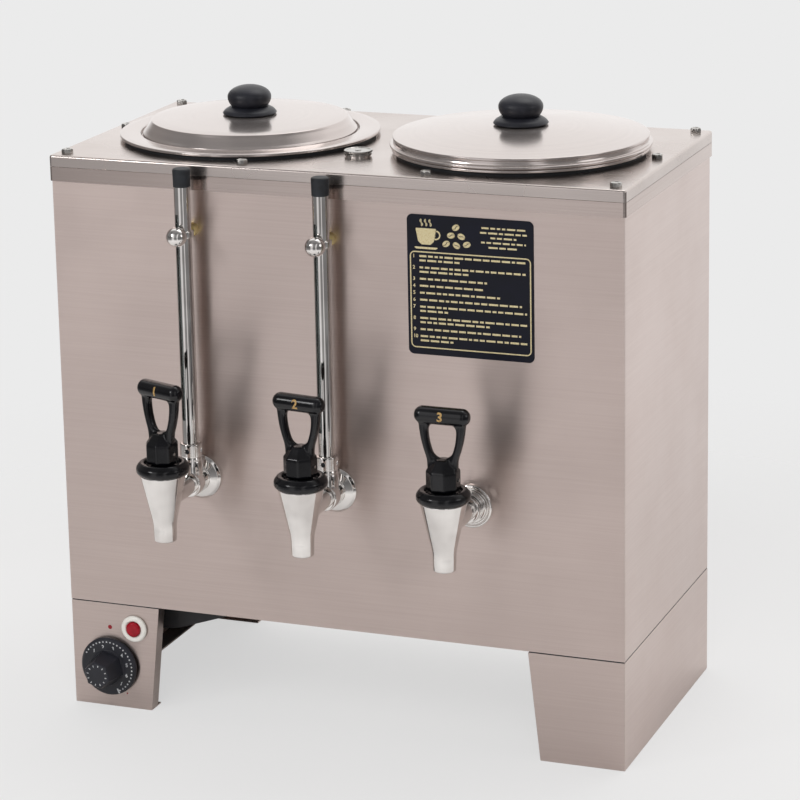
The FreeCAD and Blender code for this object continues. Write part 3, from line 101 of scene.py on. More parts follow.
def arc(before, corner, after, radius, steps):
    """Arc of a radius that touches both sides of a corner, swung from one tangent point to the other."""
    if not radius:
        return corner[None]
    a, b = before - corner, after - corner
    la, lb = np.linalg.norm(a), np.linalg.norm(b)
    a, b = a / la, b / lb
    half = math.acos(float(np.clip(a @ b, -1, 1))) / 2
    if half > math.pi / 2 - 0.01:
        return corner[None]
    reach = min(radius / math.tan(half), 0.49 * la, 0.49 * lb)
    radius = reach * math.tan(half)
    centre = corner + (a + b) / np.linalg.norm(a + b) * radius / math.sin(half)
    start, end = corner + a * reach - centre, corner + b * reach - centre
    swing = math.pi - 2 * half
    t = np.linspace(0, 1, steps)[:, None]
    return centre + (np.sin((1 - t) * swing) * start + np.sin(t * swing) * end) / math.sin(swing)


def ring(corners, steps=5):
    """Closed outline through (x, y, rounding) corners, its arcs as in a profile."""
    spots = [np.array(corner[:2], float) for corner in corners]
    count = len(spots)
    return np.vstack([arc(spots[i - 1], spots[i], spots[(i + 1) % count], corners[i][2], steps)
                      for i in range(count)])


def oblong(x0, x1, y0, y1, corner=0, steps=1):
    """Rectangle as an outline, its corners rounded."""
    return ring([(x0, y0, corner), (x1, y0, corner), (x1, y1, corner), (x0, y1, corner)], steps)


def disc_line(x, y, radius, steps=20):
    """Circle as an outline."""
    angle = np.arange(steps) * TAU / steps
    return np.stack([x + radius * np.cos(angle), y + radius * np.sin(angle)], axis=1)


def turn(line, place, axis=UP, steps=96):
    """Surface of revolution: radius and height of the line carried round an axis through a place."""
    axis = np.array(axis, float)
    side = np.array((1.0, 0, 0)) if abs(axis[0]) < 0.5 else np.array((0, 1.0, 0))
    other = np.cross(axis, side)
    angle = np.arange(steps) * TAU / steps
    spoke = np.cos(angle)[:, None] * side + np.sin(angle)[:, None] * other
    line = np.asarray(line, float)
    grid = line[:, 0, None, None] * spoke[None] + line[:, 1, None, None] * axis
    return grid + np.array(place, float)


def rise(outline, levels):
    """Rounded slab: an outline shrunk by each level's inset and lifted to its height, closed at both ends."""
    outline = np.asarray(outline, float)
    heart = outline.mean(axis=0)
    nxt, prev = np.roll(outline, -1, axis=0), np.roll(outline, 1, axis=0)
    along = nxt - prev
    along /= np.linalg.norm(along, axis=1)[:, None]
    inward = np.stack([-along[:, 1], along[:, 0]], axis=1)
    inward *= np.sign(np.sum(inward * (heart - outline), axis=1).mean())
    insets, heights = np.array(levels, float).T
    flat = outline[None] + inward[None] * insets[:, None, None]
    grid = np.concatenate([flat, np.broadcast_to(heights[:, None, None], (*flat.shape[:2], 1))], axis=2)
    caps = [np.broadcast_to(np.append(heart, h), grid[0].shape)[None] for h in (heights[0], heights[-1])]
    return np.concatenate([caps[0], grid, caps[1]])


def sweep(path, radius, sides):
    """Tube: a circle of a radius carried along a path, held square to the path's direction."""
    ahead = np.gradient(path, axis=0)
    ahead /= np.linalg.norm(ahead, axis=1)[:, None]
    rest = np.array((0, 1.0, 0)) if np.abs(ahead[:, 1]).max() < 0.9 else np.array((0, 0, 1.0))
    side = np.cross(ahead, rest)
    side /= np.linalg.norm(side, axis=1)[:, None]
    up = np.cross(side, ahead)
    angle = np.arange(sides) * TAU / sides
    tube = path[:, None] + radius * (np.cos(angle)[None, :, None] * side[:, None]
                                     + np.sin(angle)[None, :, None] * up[:, None])
    return np.concatenate([np.broadcast_to(path[:1, None], (1, sides, 3)), tube,
                           np.broadcast_to(path[-1:, None], (1, sides, 3))])


def swing(grid, degrees, centre):
    """Turn points about an upright line through a centre."""
    angle = math.radians(degrees)
    c, s = math.cos(angle), math.sin(angle)
    turned = (grid - centre) @ np.array(((c, s, 0), (-s, c, 0), (0, 0, 1)))
    return turned + centre


def lay(grid, place, right=(1, 0, 0)):
    """Put a flat drawing with heights on a wall: its x runs right, its y up, its height outward."""
    right, up = np.array(right, float), np.array(UP, float)
    out = np.cross(right, up)
    return grid[..., :1] * right + grid[..., 1:2] * up + grid[..., 2:] * out + np.array(place, float)


# Meshes and pieces

def quads(grid, across, around):
    """Corner numbers of the squares between neighbouring grid points, closed where asked."""
    rows, columns = grid.shape[:2]
    i = np.arange(rows if across else rows - 1)[:, None]
    j = np.arange(columns if around else columns - 1)[None]
    i2, j2 = (i + 1) % rows, (j + 1) % columns
    faces = np.stack(np.broadcast_arrays(i * columns + j, i2 * columns + j, i2 * columns + j2,
                                         i * columns + j2), axis=-1)
    return faces.reshape(-1, 4)


def outward(points, faces):
    """Faces flipped, if need be, so that the volume they close is positive."""
    a, b, c, d = (points[faces[:, k]] for k in range(4))
    volume = np.einsum("ij,ij->", a, np.cross(b, c)) + np.einsum("ij,ij->", a, np.cross(c, d))
    return faces if volume > 0 else faces[:, ::-1]


def mesh_of(name, grids, crease=32):
    """One mesh from grids of points given as (grid, closed across rows, closed around columns)."""
    points, faces, start = [], [], 0
    for grid, across, around in grids:
        flat = grid.reshape(-1, 3) * MM
        middle_point = flat.mean(axis=0)
        points.append(flat)
        faces.append(outward(flat - middle_point, quads(grid, across, around)) + start)
        start += len(flat)
    points, faces = np.vstack(points), np.vstack(faces)
    mesh = bpy.data.meshes.new(name)
    mesh.vertices.add(len(points))
    mesh.vertices.foreach_set("co", points.ravel())
    mesh.loops.add(faces.size)
    mesh.loops.foreach_set("vertex_index", faces.ravel().astype(np.int32))
    mesh.polygons.add(len(faces))
    mesh.polygons.foreach_set("loop_start", np.arange(0, faces.size, 4, dtype=np.int32))
    mesh.update(calc_edges=True)
    close_seams(mesh, crease)
    return mesh


def close_seams(mesh, crease, near=2e-6):
    """Merge points that coincide, drop faces without area and shade smooth up to an edge angle."""
    work = bmesh.new()
    work.from_mesh(mesh)
    bmesh.ops.remove_doubles(work, verts=work.verts, dist=near)
    bmesh.ops.dissolve_degenerate(work, dist=near / 2, edges=work.edges)
    work.to_mesh(mesh)
    work.free()
    mesh.shade_smooth()
    mesh.set_sharp_from_angle(angle=math.radians(crease))


def linked(name, data):
    """A new object of a mesh, curve, lamp or camera, linked to the scene."""
    made = bpy.data.objects.new(name, data)
    bpy.context.scene.collection.objects.link(made)
    return made


def evaluated(made):
    """A new mesh of an object as its modifiers or its curve leave it."""
    bpy.context.view_layer.update()
    return bpy.data.meshes.new_from_object(made.evaluated_get(bpy.context.evaluated_depsgraph_get()))


def piece(name, grids, finish, body, instead=(), crease=32):
    """A finished piece at the origin with its finish and body, hiding the nodes it stands for."""
    return settle(linked(name, mesh_of(name, grids, crease)), finish, body, instead)


def settle(made, finish, body, instead=()):
    """Give an object its finish and body, and hide the nodes it stands for."""
    made.data.materials.clear()
    made.data.materials.append(finish)
    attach(made, body)
    if instead:
        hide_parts(*instead)
    return made


def folded(node, finish, body, width=0.5, angle=40, flat=0.6, seam=0.0):
    """A frame node again as bent and deburred sheet: its mesh merged, its flats joined, its edges rounded,
    and its top edge lowered by a seam's width."""
    work = bmesh.new()
    work.from_mesh(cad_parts[node].data)
    bmesh.ops.remove_doubles(work, verts=work.verts, dist=2e-6)
    bmesh.ops.dissolve_limit(work, angle_limit=math.radians(flat), verts=work.verts, edges=work.edges)
    points = np.array([vertex.co[:] for vertex in work.verts])
    points[points[:, 2] > points[:, 2].max() - MM, 2] -= seam * MM
    work.verts.index_update()
    faces = [[vertex.index for vertex in face.verts] for face in work.faces]
    work.free()
    mesh = bpy.data.meshes.new(f"{node}_sheet")
    mesh.from_pydata(points.tolist(), [], faces)
    made = linked(mesh.name, mesh)
    mesh.shade_smooth()
    bevel = made.modifiers.new("edge", "BEVEL")
    bevel.width = width * MM
    bevel.segments = 2
    bevel.limit_method = "ANGLE"
    bevel.angle_limit = math.radians(angle)
    bevel.harden_normals = True
    bevel.use_clamp_overlap = True
    return settle(made, finish, body, (node,))


# Shader nodes

def feed(tree, node, inputs):
    """Give a node's inputs values, or links where the value is another node's output."""
    for key, value in inputs.items():
        if isinstance(value, bpy.types.NodeSocket):
            tree.links.new(value, node.inputs[key])
        else:
            node.inputs[key].default_value = value


def add(tree, kind, settings=None, inputs=None):
    """Add one shader node, set its options and feed its inputs."""
    made = tree.nodes.new(kind)
    for key, value in (settings or {}).items():
        setattr(made, key, value)
    feed(tree, made, inputs or {})
    return made


def finish_of(name):
    """A new material's tree, its shader and its object coordinates."""
    made = bpy.data.materials.new(name)
    made.use_nodes = True
    tree = made.node_tree
    tree.nodes.clear()
    shader = add(tree, "ShaderNodeBsdfPrincipled")
    add(tree, "ShaderNodeOutputMaterial", inputs={"Surface": shader.outputs[0]})
    where = add(tree, "ShaderNodeTexCoord").outputs["Object"]
    return made, tree, shader, where


def blend(tree, value, start, end, first, second, share=1.0):
    """Colour that goes from the first to a share of the second while a value runs from start to end."""
    amount = add(tree, "ShaderNodeMapRange", None, {0: value, 1: start, 2: end, 3: 0.0, 4: share})
    mixed = add(tree, "ShaderNodeMix", {"data_type": "RGBA"}, {0: amount.outputs[0], 6: first, 7: second})
    return mixed.outputs[2]


def weather(tree, shader, where, grains, tones, rough, relief, sockets):
    """Tone, roughness and relief that each follow a noise in the object's space. A grain is a noise's size in
    metres, detail, roughness and, where it is drawn out, its scale along the axes, or else a ready socket.
    Tones are a first colour and layers over it as (grain, start, end, share, colour), rough is (grain, low,
    high, start, end), and relief is (grain, depth in millimetres, strength)."""
    fields = {}
    for key, grain in grains.items():
        if isinstance(grain, bpy.types.NodeSocket):
            fields[key] = grain
            continue
        size, detail, roughness, *stretch = grain
        placed = add(tree, "ShaderNodeMapping", None, {"Vector": where, "Scale": stretch or (1, 1, 1)})
        wave = add(tree, "ShaderNodeTexNoise", None, {"Vector": placed.outputs[0], "Scale": 1 / size,
                                                      "Detail": detail, "Roughness": roughness})
        fields[key] = wave.outputs["Fac"]
    first, *layers = tones
    tone = linear(first) if isinstance(first, str) else first
    for key, start, end, share, colour in layers:
        colour = linear(colour) if isinstance(colour, str) else colour
        tone = blend(tree, fields[key], start, end, tone, colour, share)
    key, low, high, start, end = rough
    blur = add(tree, "ShaderNodeMapRange", None, {0: fields[key], 1: start, 2: end, 3: low, 4: high})
    key, depth, strength = relief
    slope = add(tree, "ShaderNodeBump", None, {"Strength": strength, "Distance": depth * MM,
                                               "Height": fields[key]})
    feed(tree, shader, {"Base Color": tone, "Roughness": blur.outputs[0], "Normal": slope.outputs[0],
                        **sockets})


# Finishes

def satin_stainless(name, tone, stretch, tangent, smear):
    """AISI 304 sheet, machine brushed: a warm satin face whose fine parallel lines smear reflections across
    the grain, with hand marks that dull it in soft patches."""
    made, tree, shader, where = finish_of(name)
    looks = bpy.context.scene.urn_steel
    base = linear(tone)
    dull = (*(0.90 * c for c in base[:3]), 1.0)
    coarse = looks.roughness * (0.4 + 0.6 * smear)
    aim = add(tree, "ShaderNodeCombineXYZ", None, dict(zip("XYZ", tangent))).outputs[0]
    # grain lines stand about 0.4 mm apart; drawn at 1.6 mm, because closer ones vanish at this distance
    grains = {"lines": (looks.grain_pitch * 4, 2, 0.6, *stretch), "marks": (0.09, 3, 0.55),
              "broad": (0.35, 1, 0.4)}
    tones = (dull, ("broad", 0.3, 0.7, 1, base), ("lines", 0.3, 0.7, 0.1, "#F2E9E2"))
    weather(tree, shader, where, grains, tones, ("marks", coarse - 0.04, coarse + 0.06, 0.35, 0.7),
            ("lines", 0.006, 0.2), {"Metallic": 1, "Anisotropic": looks.anisotropy * smear, "Tangent": aim})
    return made


def spun_stainless(name, tone, centre):
    """Stainless disc, spun and polished on a lathe: near bright, with faint rings that smear reflections
    towards and away from the middle."""
    made, tree, shader, where = finish_of(name)
    base = linear(tone)
    dull = (*(0.95 * c for c in base[:3]), 1.0)
    away = tuple(-c * MM for c in centre)
    local = add(tree, "ShaderNodeVectorMath", {"operation": "ADD"}, {0: where, 1: away}).outputs[0]
    flat = add(tree, "ShaderNodeVectorMath", {"operation": "MULTIPLY"}, {0: local, 1: (1, 1, 0)}).outputs[0]
    reach = add(tree, "ShaderNodeVectorMath", {"operation": "LENGTH"}, {0: flat}).outputs["Value"]
    # tool marks stand about 0.5 mm apart; drawn at 4 mm and finer, so that they show
    rings = add(tree, "ShaderNodeTexNoise", {"noise_dimensions": "1D"},
                {"W": reach, "Scale": 1 / 0.004, "Detail": 3, "Roughness": 0.6}).outputs["Fac"]
    weather(tree, shader, where, {"rings": rings, "marks": (0.07, 3, 0.55)},
            (dull, ("rings", 0.3, 0.7, 1, base)), ("marks", 0.15, 0.21, 0.35, 0.7), ("rings", 0.001, 0.2),
            {"Metallic": 0.86, "Anisotropic": 0.3, "Tangent": flat})
    return made


# Each brushed sheet: its grain's scale along the axes, its tangent, and how far it smears reflections
SHEETS = {"panel": ((0.012, 0.012, 1), (0, 0, 1), 1.0), "deck": ((0.012, 1, 1), (0, 1, 0), 0.6),
          "rim": ((0.012, 0.012, 1), (0, 0, 1), 0.2)}

# The other finishes: the material's name, then what weather() takes
LOOKS = {
    # brass with bright chromium plating: a clear mirror, a trace of water spots and wiped haze
    "chrome": ("polished_chrome", {"spots": (0.006, 3, 0.6), "haze": (0.03, 2, 0.5)},
               ("#DAD6D3", ("haze", 0.35, 0.65, 1, "#EDEAE7")),
               ("spots", 0.035, 0.11, 0.45, 0.8), ("haze", 0.01, 0.2), {"Metallic": 1}),
    # black phenolic, compression moulded and buffed: deep gloss with a faint orange peel and dust
    "phenolic": ("moulded_phenolic", {"peel": (0.0025, 2, 0.5), "wear": (0.018, 3, 0.6)},
                 ("#050508", ("wear", 0.35, 0.75, 1, "#0D0D12")),
                 ("wear", 0.13, 0.22, 0.3, 0.8), ("peel", 0.02, 0.25), {"IOR": 1.48}),
    # black nylon, injection moulded with a satin tool texture: soft broad highlights
    "nylon": ("moulded_nylon", {"grit": (0.0012, 2, 0.6), "wear": (0.02, 3, 0.6)},
              ("#1D1E24", ("wear", 0.35, 0.75, 1, "#292A32")),
              ("wear", 0.36, 0.48, 0.3, 0.8), ("grit", 0.03, 0.25), {"IOR": 1.46}),
    # nitrile rubber, moulded: matte black with a light bloom
    "rubber": ("soft_rubber", {"bloom": (0.008, 4, 0.6)}, ("#121418", ("bloom", 0.35, 0.75, 1, "#24282E")),
               ("bloom", 0.5, 0.68, 0.3, 0.8), ("bloom", 0.03, 0.2), {"IOR": 1.52}),
    # free-cutting brass, lathe turned: warm yellow mirror with slight tarnish
    "brass": ("turned_brass", {"tarnish": (0.006, 3, 0.6)},
              ("#F2E3A6", ("tarnish", 0.35, 0.75, 1, "#DCC98A")),
              ("tarnish", 0.25, 0.4, 0, 1), ("tarnish", 0.01, 0.3), {"Metallic": 1}),
    # mill-finish 304 sheet inside the urn, rolled and pressed: grey, softly mottled
    "tank": ("tank_stainless", {"mottle": (0.012, 4, 0.6), "cloud": (0.12, 2, 0.5)},
             ("#A8A29B", ("cloud", 0.3, 0.7, 1, "#C4BEB7")),
             ("mottle", 0.3, 0.45, 0, 1), ("mottle", 0.01, 0.3), {"Metallic": 1}),
    # nickel alloy heater sheath, drawn and oxidised: dark grey with straw and blue patches
    "heater": ("heater_sheath", {"patches": (0.015, 3, 0.6)},
               ("#5B5A5E", ("patches", 0.3, 0.7, 1, "#8A8074")),
               ("patches", 0.35, 0.55, 0, 1), ("patches", 0.02, 0.3), {"Metallic": 1}),
    # stainless bar and wire, ground: even grey sheen with hair-fine marks along its length
    "rod": ("ground_rod", {"marks": (0.002, 2, 0.6, 1, 1, 0.1)},
            ("#A9A7A4", ("marks", 0.3, 0.7, 1, "#C6C3BF")),
            ("marks", 0.18, 0.3, 0, 1), ("marks", 0.01, 0.3), {"Metallic": 1}),
    # steel sheet with black stoved enamel: satin, slightly pebbled, greyer where it is rubbed
    "cover": ("painted_cover", {"pebble": (0.002, 2, 0.5), "rub": (0.05, 4, 0.6)},
              ("#17171A", ("rub", 0.4, 0.8, 1, "#2E2D30")),
              ("rub", 0.38, 0.55, 0, 1), ("pebble", 0.03, 0.3), {}),
    # glass-filled nylon of switch bodies, moulded matte: charcoal with a fine grit
    "switch": ("switch_plastic", {"grit": (0.0015, 3, 0.6)}, ("#26272A", ("grit", 0.3, 0.7, 1, "#35363A")),
               ("grit", 0.5, 0.65, 0, 1), ("grit", 0.03, 0.3), {}),
    # white acetal, moulded or turned: clean, faintly warm, soft gloss
    "white": ("white_polymer", {"tint": (0.01, 2, 0.5)}, ("#E9E6DE", ("tint", 0.3, 0.7, 1, "#F4F2EC")),
              ("tint", 0.25, 0.34, 0, 1), ("tint", 0.01, 0.2), {"IOR": 1.48}),
    # red acrylic lens, moulded: saturated and glossy, darker where the lamp housing shows through
    "lens": ("red_acrylic", {"depth": (0.004, 2, 0.5)}, ("#8E0016", ("depth", 0.3, 0.7, 1, "#A8001E")),
             ("depth", 0.2, 0.3, 0, 1), ("depth", 0.02, 0.2), {"IOR": 1.4}),
    # borosilicate sight tube, drawn: clear, with a slight waviness along its length
    "glass": ("borosilicate", {"wave": (0.01, 2, 0.5, 1, 1, 0.1)}, ("#E9F0EE",),
              ("wave", 0.02, 0.06, 0, 1), ("wave", 0.02, 0.2), {"IOR": 1.47, "Transmission Weight": 0.9}),
    # anodised aluminium plate, printed solid blue-black under clear lacquer: dark and smooth
    "plate": ("plate_lacquer", {"cloud": (0.03, 3, 0.6)}, ("#060814", ("cloud", 0.3, 0.7, 1, "#0B0E1E")),
              ("cloud", 0.24, 0.36, 0, 1), ("cloud", 0.01, 0.2), {"IOR": 1.33}),
    # gold ink, screen printed: pale metallic flake in lacquer, a little uneven
    "gold": ("gold_print", {"flake": (0.0012, 2, 0.7)}, ("#CDB987", ("flake", 0.35, 0.65, 1, "#E9DFB8")),
             ("flake", 0.35, 0.5, 0, 1), ("flake", 0.005, 0.2), {"Metallic": 0.35}),
}
# inks pad printed on plastic: thin, matte and slightly worn
for ink, deep, light in (("white_ink", "#9EA1A6", "#D9DADB"), ("gold_ink", "#9C7A46", "#C9A56A"),
                         ("red_ink", "#7E0C1B", "#A31224")):
    LOOKS[ink] = (ink, {"worn": (0.002, 3, 0.6)}, (deep, ("worn", 0.35, 0.65, 1, light)),
                  ("worn", 0.45, 0.6, 0, 1), ("worn", 0.005, 0.2), {})

FINISHES = {}


def finish(key):
    """The named finish, made once: a look of the table, a spun lid or a brushed sheet."""
    if key not in FINISHES:
        steel = bpy.context.scene.urn_steel
        if key in LOOKS:
            name, *look = LOOKS[key]
            FINISHES[key], *parts = finish_of(name)
            weather(*parts, *look)
        elif key in SHEETS:
            FINISHES[key] = satin_stainless(f"brushed_stainless_{key}", getattr(steel, f"{key}_tone"),
                                            *SHEETS[key])
        else:
            lid = key.removesuffix("_spun")
            FINISHES[key] = spun_stainless(f"spun_stainless_{lid}", steel.lid_tone, middle(f"{lid}_lid"))
    return FINISHES[key]


# Sizes and colours a user would change

def hue(name, default, description):
    """A colour in the sidebar, as a hex code."""
    return bpy.props.StringProperty(name=name, description=description, default=default)


def length(name, default, description):
    """A length in the sidebar, in metres."""
    return bpy.props.FloatProperty(name=name, description=description, default=default, unit="LENGTH")


def amount(name, default, description, **limits):
    """A plain number in the sidebar."""
    return bpy.props.FloatProperty(name=name, description=description, default=default, **limits)


class UrnSteel(bpy.types.PropertyGroup):
    """Stainless sheet of the casing and the lids."""
    panel_tone: hue("Panel tone", "#CBBBB5", "Colour of the casing sheet")
    deck_tone: hue("Deck tone", "#CDC3BE", "Colour of the deck sheet")
    rim_tone: hue("Rim tone", "#C4B6B0", "Colour of the rim sheet")
    lid_tone: hue("Lid tone", "#CFC6C2", "Colour of the spun lids")
    roughness: amount("Roughness", 0.33, "Blur of reflections in the sheet", min=0.05, max=0.8)
    anisotropy: amount("Anisotropy", 0.78, "How much the grain stretches reflections", min=0.0, max=1.0)
    grain_pitch: length("Grain pitch", 0.0004, "Distance between grain lines")
    edge: length("Edge rounding", 0.0005, "Rounding of the sheet's cut edges")


class UrnLids(bpy.types.PropertyGroup):
    """Lids and their knobs."""
    coffee_lift: length("Coffee lid swell", 0.0008, "Swell of the coffee lid's middle")
    milk_lift: length("Milk lid swell", 0.0080, "Swell of the milk lid's middle")
    bulb: length("Bulb radius", 0.0223, "Largest radius of a lid knob")
    base: length("Base radius", 0.028, "Radius of a knob's flared base")


class UrnTaps(bpy.types.PropertyGroup):
    """Taps, grip rings and handles."""
    mouth: length("Mouth radius", 0.0111, "Outer radius of a tap's outlet")
    grip_ring: length("Grip ring radius", 0.0262, "Radius of the black ring under a handle")
    bar: length("Bar radius", 0.0086, "Radius of a handle's grip bar")
    moulding: length("Moulding step", 0.0008, "Fineness of the blended handle surface")


class UrnPrint(bpy.types.PropertyGroup):
    """Print on the label, the handles and the dial."""
    line: length("Frame line", 0.0012, "Width of the label's gold frame line")
    figure: length("Handle figure", 0.0095, "Height of the figure on a handle bar")


class UrnStage(bpy.types.PropertyGroup):
    """Floor, backdrop and lamps."""
    floor_tone: hue("Floor tone", "#F1F0EF", "Colour of the floor")
    back_tone: hue("Backdrop tone", "#EBEBEB", "Colour behind the urn")
    front_glow: amount("Front glow", 1.0, "Radiance of the room before the taps")
    back_glow: amount("Back glow", 1.12, "Radiance of the room behind the urn")
    low_glow: amount("Low glow", 0.88, "Radiance behind the urn below the deck")
    key: amount("Key lamp", 12.0, "Power of the lamp on the tap side")
    fill: amount("Fill lamp", 42.0, "Power of the wide lamp over the floor")
    top: amount("Top lamp", 8.0, "Power of the lamp over the deck")
    side: amount("Side lamp", 5.0, "Power of the lamp on the right")


# Pieces

def spline(half, steps=8):
    """Closed outline of Catmull-Rom curves through the right half's points and their mirror images."""
    half = np.array(half, float)
    left = half[1:-1][::-1] * (-1, 1)
    spots = np.vstack([half, left])
    t = np.linspace(0, 1, steps, endpoint=False)[:, None]
    p0, p1, p2, p3 = (np.roll(spots, shift, axis=0)[:, None] for shift in (1, 0, -1, -2))
    line = 0.5 * (2 * p1 + (p2 - p0) * t + (2 * p0 - 5 * p1 + 4 * p2 - p3) * t ** 2
                  + (3 * p1 - p0 - 3 * p2 + p3) * t ** 3)
    return line.reshape(-1, 2)


def tap_axis(tap):
    """Place of a tap's upright axis on the counter, in millimetres."""
    spot = middle(f"{tap}_stem")
    return np.array((spot[0], spot[1], 0.0))


def number(text, height, depth=0.12):
    """A figure as a flat mesh of a height and thickness: its points, centred, and its faces."""
    curve = bpy.data.curves.new("figure", "FONT")
    curve.body = text
    curve.size = 1.0
    curve.resolution_u = 5
    curve.offset = 0.028
    curve.align_x, curve.align_y = "CENTER", "CENTER"
    holder = linked("figure", curve)
    flat = evaluated(holder)
    bpy.data.objects.remove(holder)
    work = bmesh.new()
    work.from_mesh(flat)
    bmesh.ops.remove_doubles(work, verts=work.verts, dist=1e-5)
    # cut across at ten heights, so that a figure can bend round a bar
    levels = [vert.co.y for vert in work.verts]
    for level in np.linspace(min(levels), max(levels), 12)[1:-1]:
        bmesh.ops.bisect_plane(work, geom=[*work.verts, *work.edges, *work.faces], dist=1e-6,
                               plane_co=(0, level, 0), plane_no=(0, 1, 0))
    bmesh.ops.triangulate(work, faces=work.faces)
    work.to_mesh(flat)
    work.free()
    points = np.empty(len(flat.vertices) * 3)
    flat.vertices.foreach_get("co", points)
    points = points.reshape(-1, 3)
    faces = np.array([tuple(face.vertices) for face in flat.polygons])
    low, high = points.min(axis=0), points.max(axis=0)
    points = (points - (low + high) / 2) * height / (high[1] - low[1])
    count = len(points)
    both = np.vstack([points + (0, 0, depth), points])
    sides = edge_walls(faces, count)
    bpy.data.meshes.remove(flat)
    return both, [*faces.tolist(), *(faces[:, ::-1] + count).tolist(), *sides]


def edge_walls(faces, count):
    """Squares that join the free edges of a sheet of faces to the same edges of its lower copy."""
    edges = np.concatenate([faces[:, (0, 1)], faces[:, (1, 2)], faces[:, (2, 0)]])
    known = {tuple(edge) for edge in edges.tolist()}
    return [(b, a, a + count, b + count) for a, b in known if (b, a) not in known]


def print_piece(name, parts, ink, body):
    """One printed piece from (points in millimetres, faces) parts."""
    points, faces, start = [], [], 0
    for spots, corners in parts:
        points.append(np.asarray(spots) * MM)
        faces += [tuple(k + start for k in corner) for corner in corners]
        start += len(spots)
    mesh = bpy.data.meshes.new(name)
    mesh.from_pydata(np.vstack(points).tolist(), [], faces)
    work = bmesh.new()
    work.from_mesh(mesh)
    bmesh.ops.recalc_face_normals(work, faces=work.faces)
    work.to_mesh(mesh)
    work.free()
    return settle(linked(name, mesh), ink, body)


def solid_part(grid, band=False):
    """A closed slab grid as printed-piece points and faces; a band is closed across its rows as well."""
    return grid.reshape(-1, 3), quads(grid, band, True).tolist()


class URN_OT_casing(bpy.types.Operator):
    """Brushed sheet: deck, rim, panels and legs with rounded edges, and black strips of painted shade behind
    the legs' joints
    """
    bl_idname = "urn.casing"
    bl_label = "Casing and legs"

    def execute(self, context):
        edge = context.scene.urn_steel.edge / MM
        folded("front_panel", finish("panel"), "urn", edge)
        folded("rear_wrap", finish("panel"), "urn", 2 * edge)
        folded("rim_frame", finish("rim"), "urn", edge)
        for node in ("left_leg", "right_leg"):
            folded(node, finish("panel"), "urn", edge, seam=0.9)
        folded("top_deck", finish("deck"), "urn", 1.6 * edge, angle=50, flat=0.3)
        # black strips behind the joints between body and legs, on the front, the rear and the outer side:
        # painted shade for the dark gap at each joint
        strips = []
        for leg, outer in (("left_leg", 0), ("right_leg", 1)):
            low, high = span(leg)
            ways = ((low[0], high[0], (1, 0, 0), (0, low[1], 0)),
                    (-high[0], -low[0], (-1, 0, 0), (0, high[1], 0)))
            aside = ((-high[1], -low[1], (0, -1, 0), (low[0], 0, 0)),
                     (low[1], high[1], (0, 1, 0), (high[0], 0, 0)))
            for start, end, right, place in (*ways, aside[outer]):
                strip = oblong(start + 1, end - 1, high[2] - 2.2, high[2] + 0.2)
                strips.append((lay(rise(strip, [(0, -0.9), (0, -0.35)]), place, right), False, True))
        piece("leg_joint_shade_strips", strips, finish("rubber"), "urn")
        return {"FINISHED"}


class URN_OT_cover(bpy.types.Operator):
    """Black terminal cover with a sloping underside, and a rubber strip on the left leg's foot flange"""
    bl_idname = "urn.cover"
    bl_label = "Terminal cover"

    def execute(self, context):
        low, high = span("terminal_cover")
        outline = ring([(low[0], high[2], 0.6), (low[0], low[2] - 6, 3), (low[0] + 62, low[2] + 5, 20),
                        (high[0] - 22, low[2] + 24, 3), (high[0] - 6, high[2], 0.6)], 5)
        deep = high[1] - low[1]
        block = rise(outline, [(0.8, -deep), (0, -deep + 0.8), (0, -0.8), (0.8, 0)])
        piece("terminal_cover_pressed", [(lay(block, (0, low[1], 0)), False, True)], finish("cover"), "urn",
              ("terminal_cover",))
        low, high = span("left_leg")
        flange = 21.4
        mat = oblong(low[0] + 2, low[0] + flange, low[1] + 24, high[1] - 2, 1, 3)
        mat = rise(mat, [(0, 1.4), (0, 2.2), (0.4, 2.6)])
        piece("leg_floor_mat", [(mat, False, True)], finish("rubber"), "urn")
        return {"FINISHED"}


class URN_OT_bolts(bpy.types.Operator):
    """Ten hexagon bolts with chamfered heads"""
    bl_idname = "urn.bolts"
    bl_label = "Deck bolts"

    def execute(self, context):
        low, high = span("deck_bolts")
        deck = span("top_deck")[1][2]
        # half the head's width over flats and over corners, the thread's radius, the inner bolts' distance
        flats, corners, thread, inner = 5, 5.77, 3, 96
        xs = (low[0] + corners, high[0] - corners)
        ys = (low[1] + flats, (low[1] + high[1]) / 2, high[1] - flats)
        places = [(x, y) for x in xs for y in ys] + [(x, y) for x in (-inner, inner) for y in (ys[0], ys[2])]
        # radius of a hexagon's edge at each angle, brought to a circle on top by the chamfer
        angle = np.arange(36) * TAU / 36
        hexagon = flats / np.cos((angle + TAU / 12) % (TAU / 6) - TAU / 12)
        spoke = np.stack([np.cos(angle), np.sin(angle)], axis=1)
        rows = [(0, -14), (thread, -14), (thread, 0), (hexagon * 0.97, 0), (hexagon, 0.2),
                (hexagon, 3.9 - (hexagon - flats) * 0.6), (np.minimum(hexagon, 4.9), 4.5), (4.3, 4.7),
                (3, 4.7), (2.6, 4.3), (0, 4.3)]
        rows = [np.broadcast_arrays(radius, height, hexagon) for radius, height in rows]
        grid = np.stack([np.concatenate([spoke * r[:, None], z[:, None]], axis=1) for r, z, _ in rows])
        # each bolt was tightened to another angle
        further = 17.0
        grids = [(swing(grid, further * k, np.zeros(3)) + (x, y, deck), False, True)
                 for k, (x, y) in enumerate(places)]
        piece("deck_bolt_heads", grids, finish("rod"), "urn", ("deck_bolts",), crease=25)
        return {"FINISHED"}


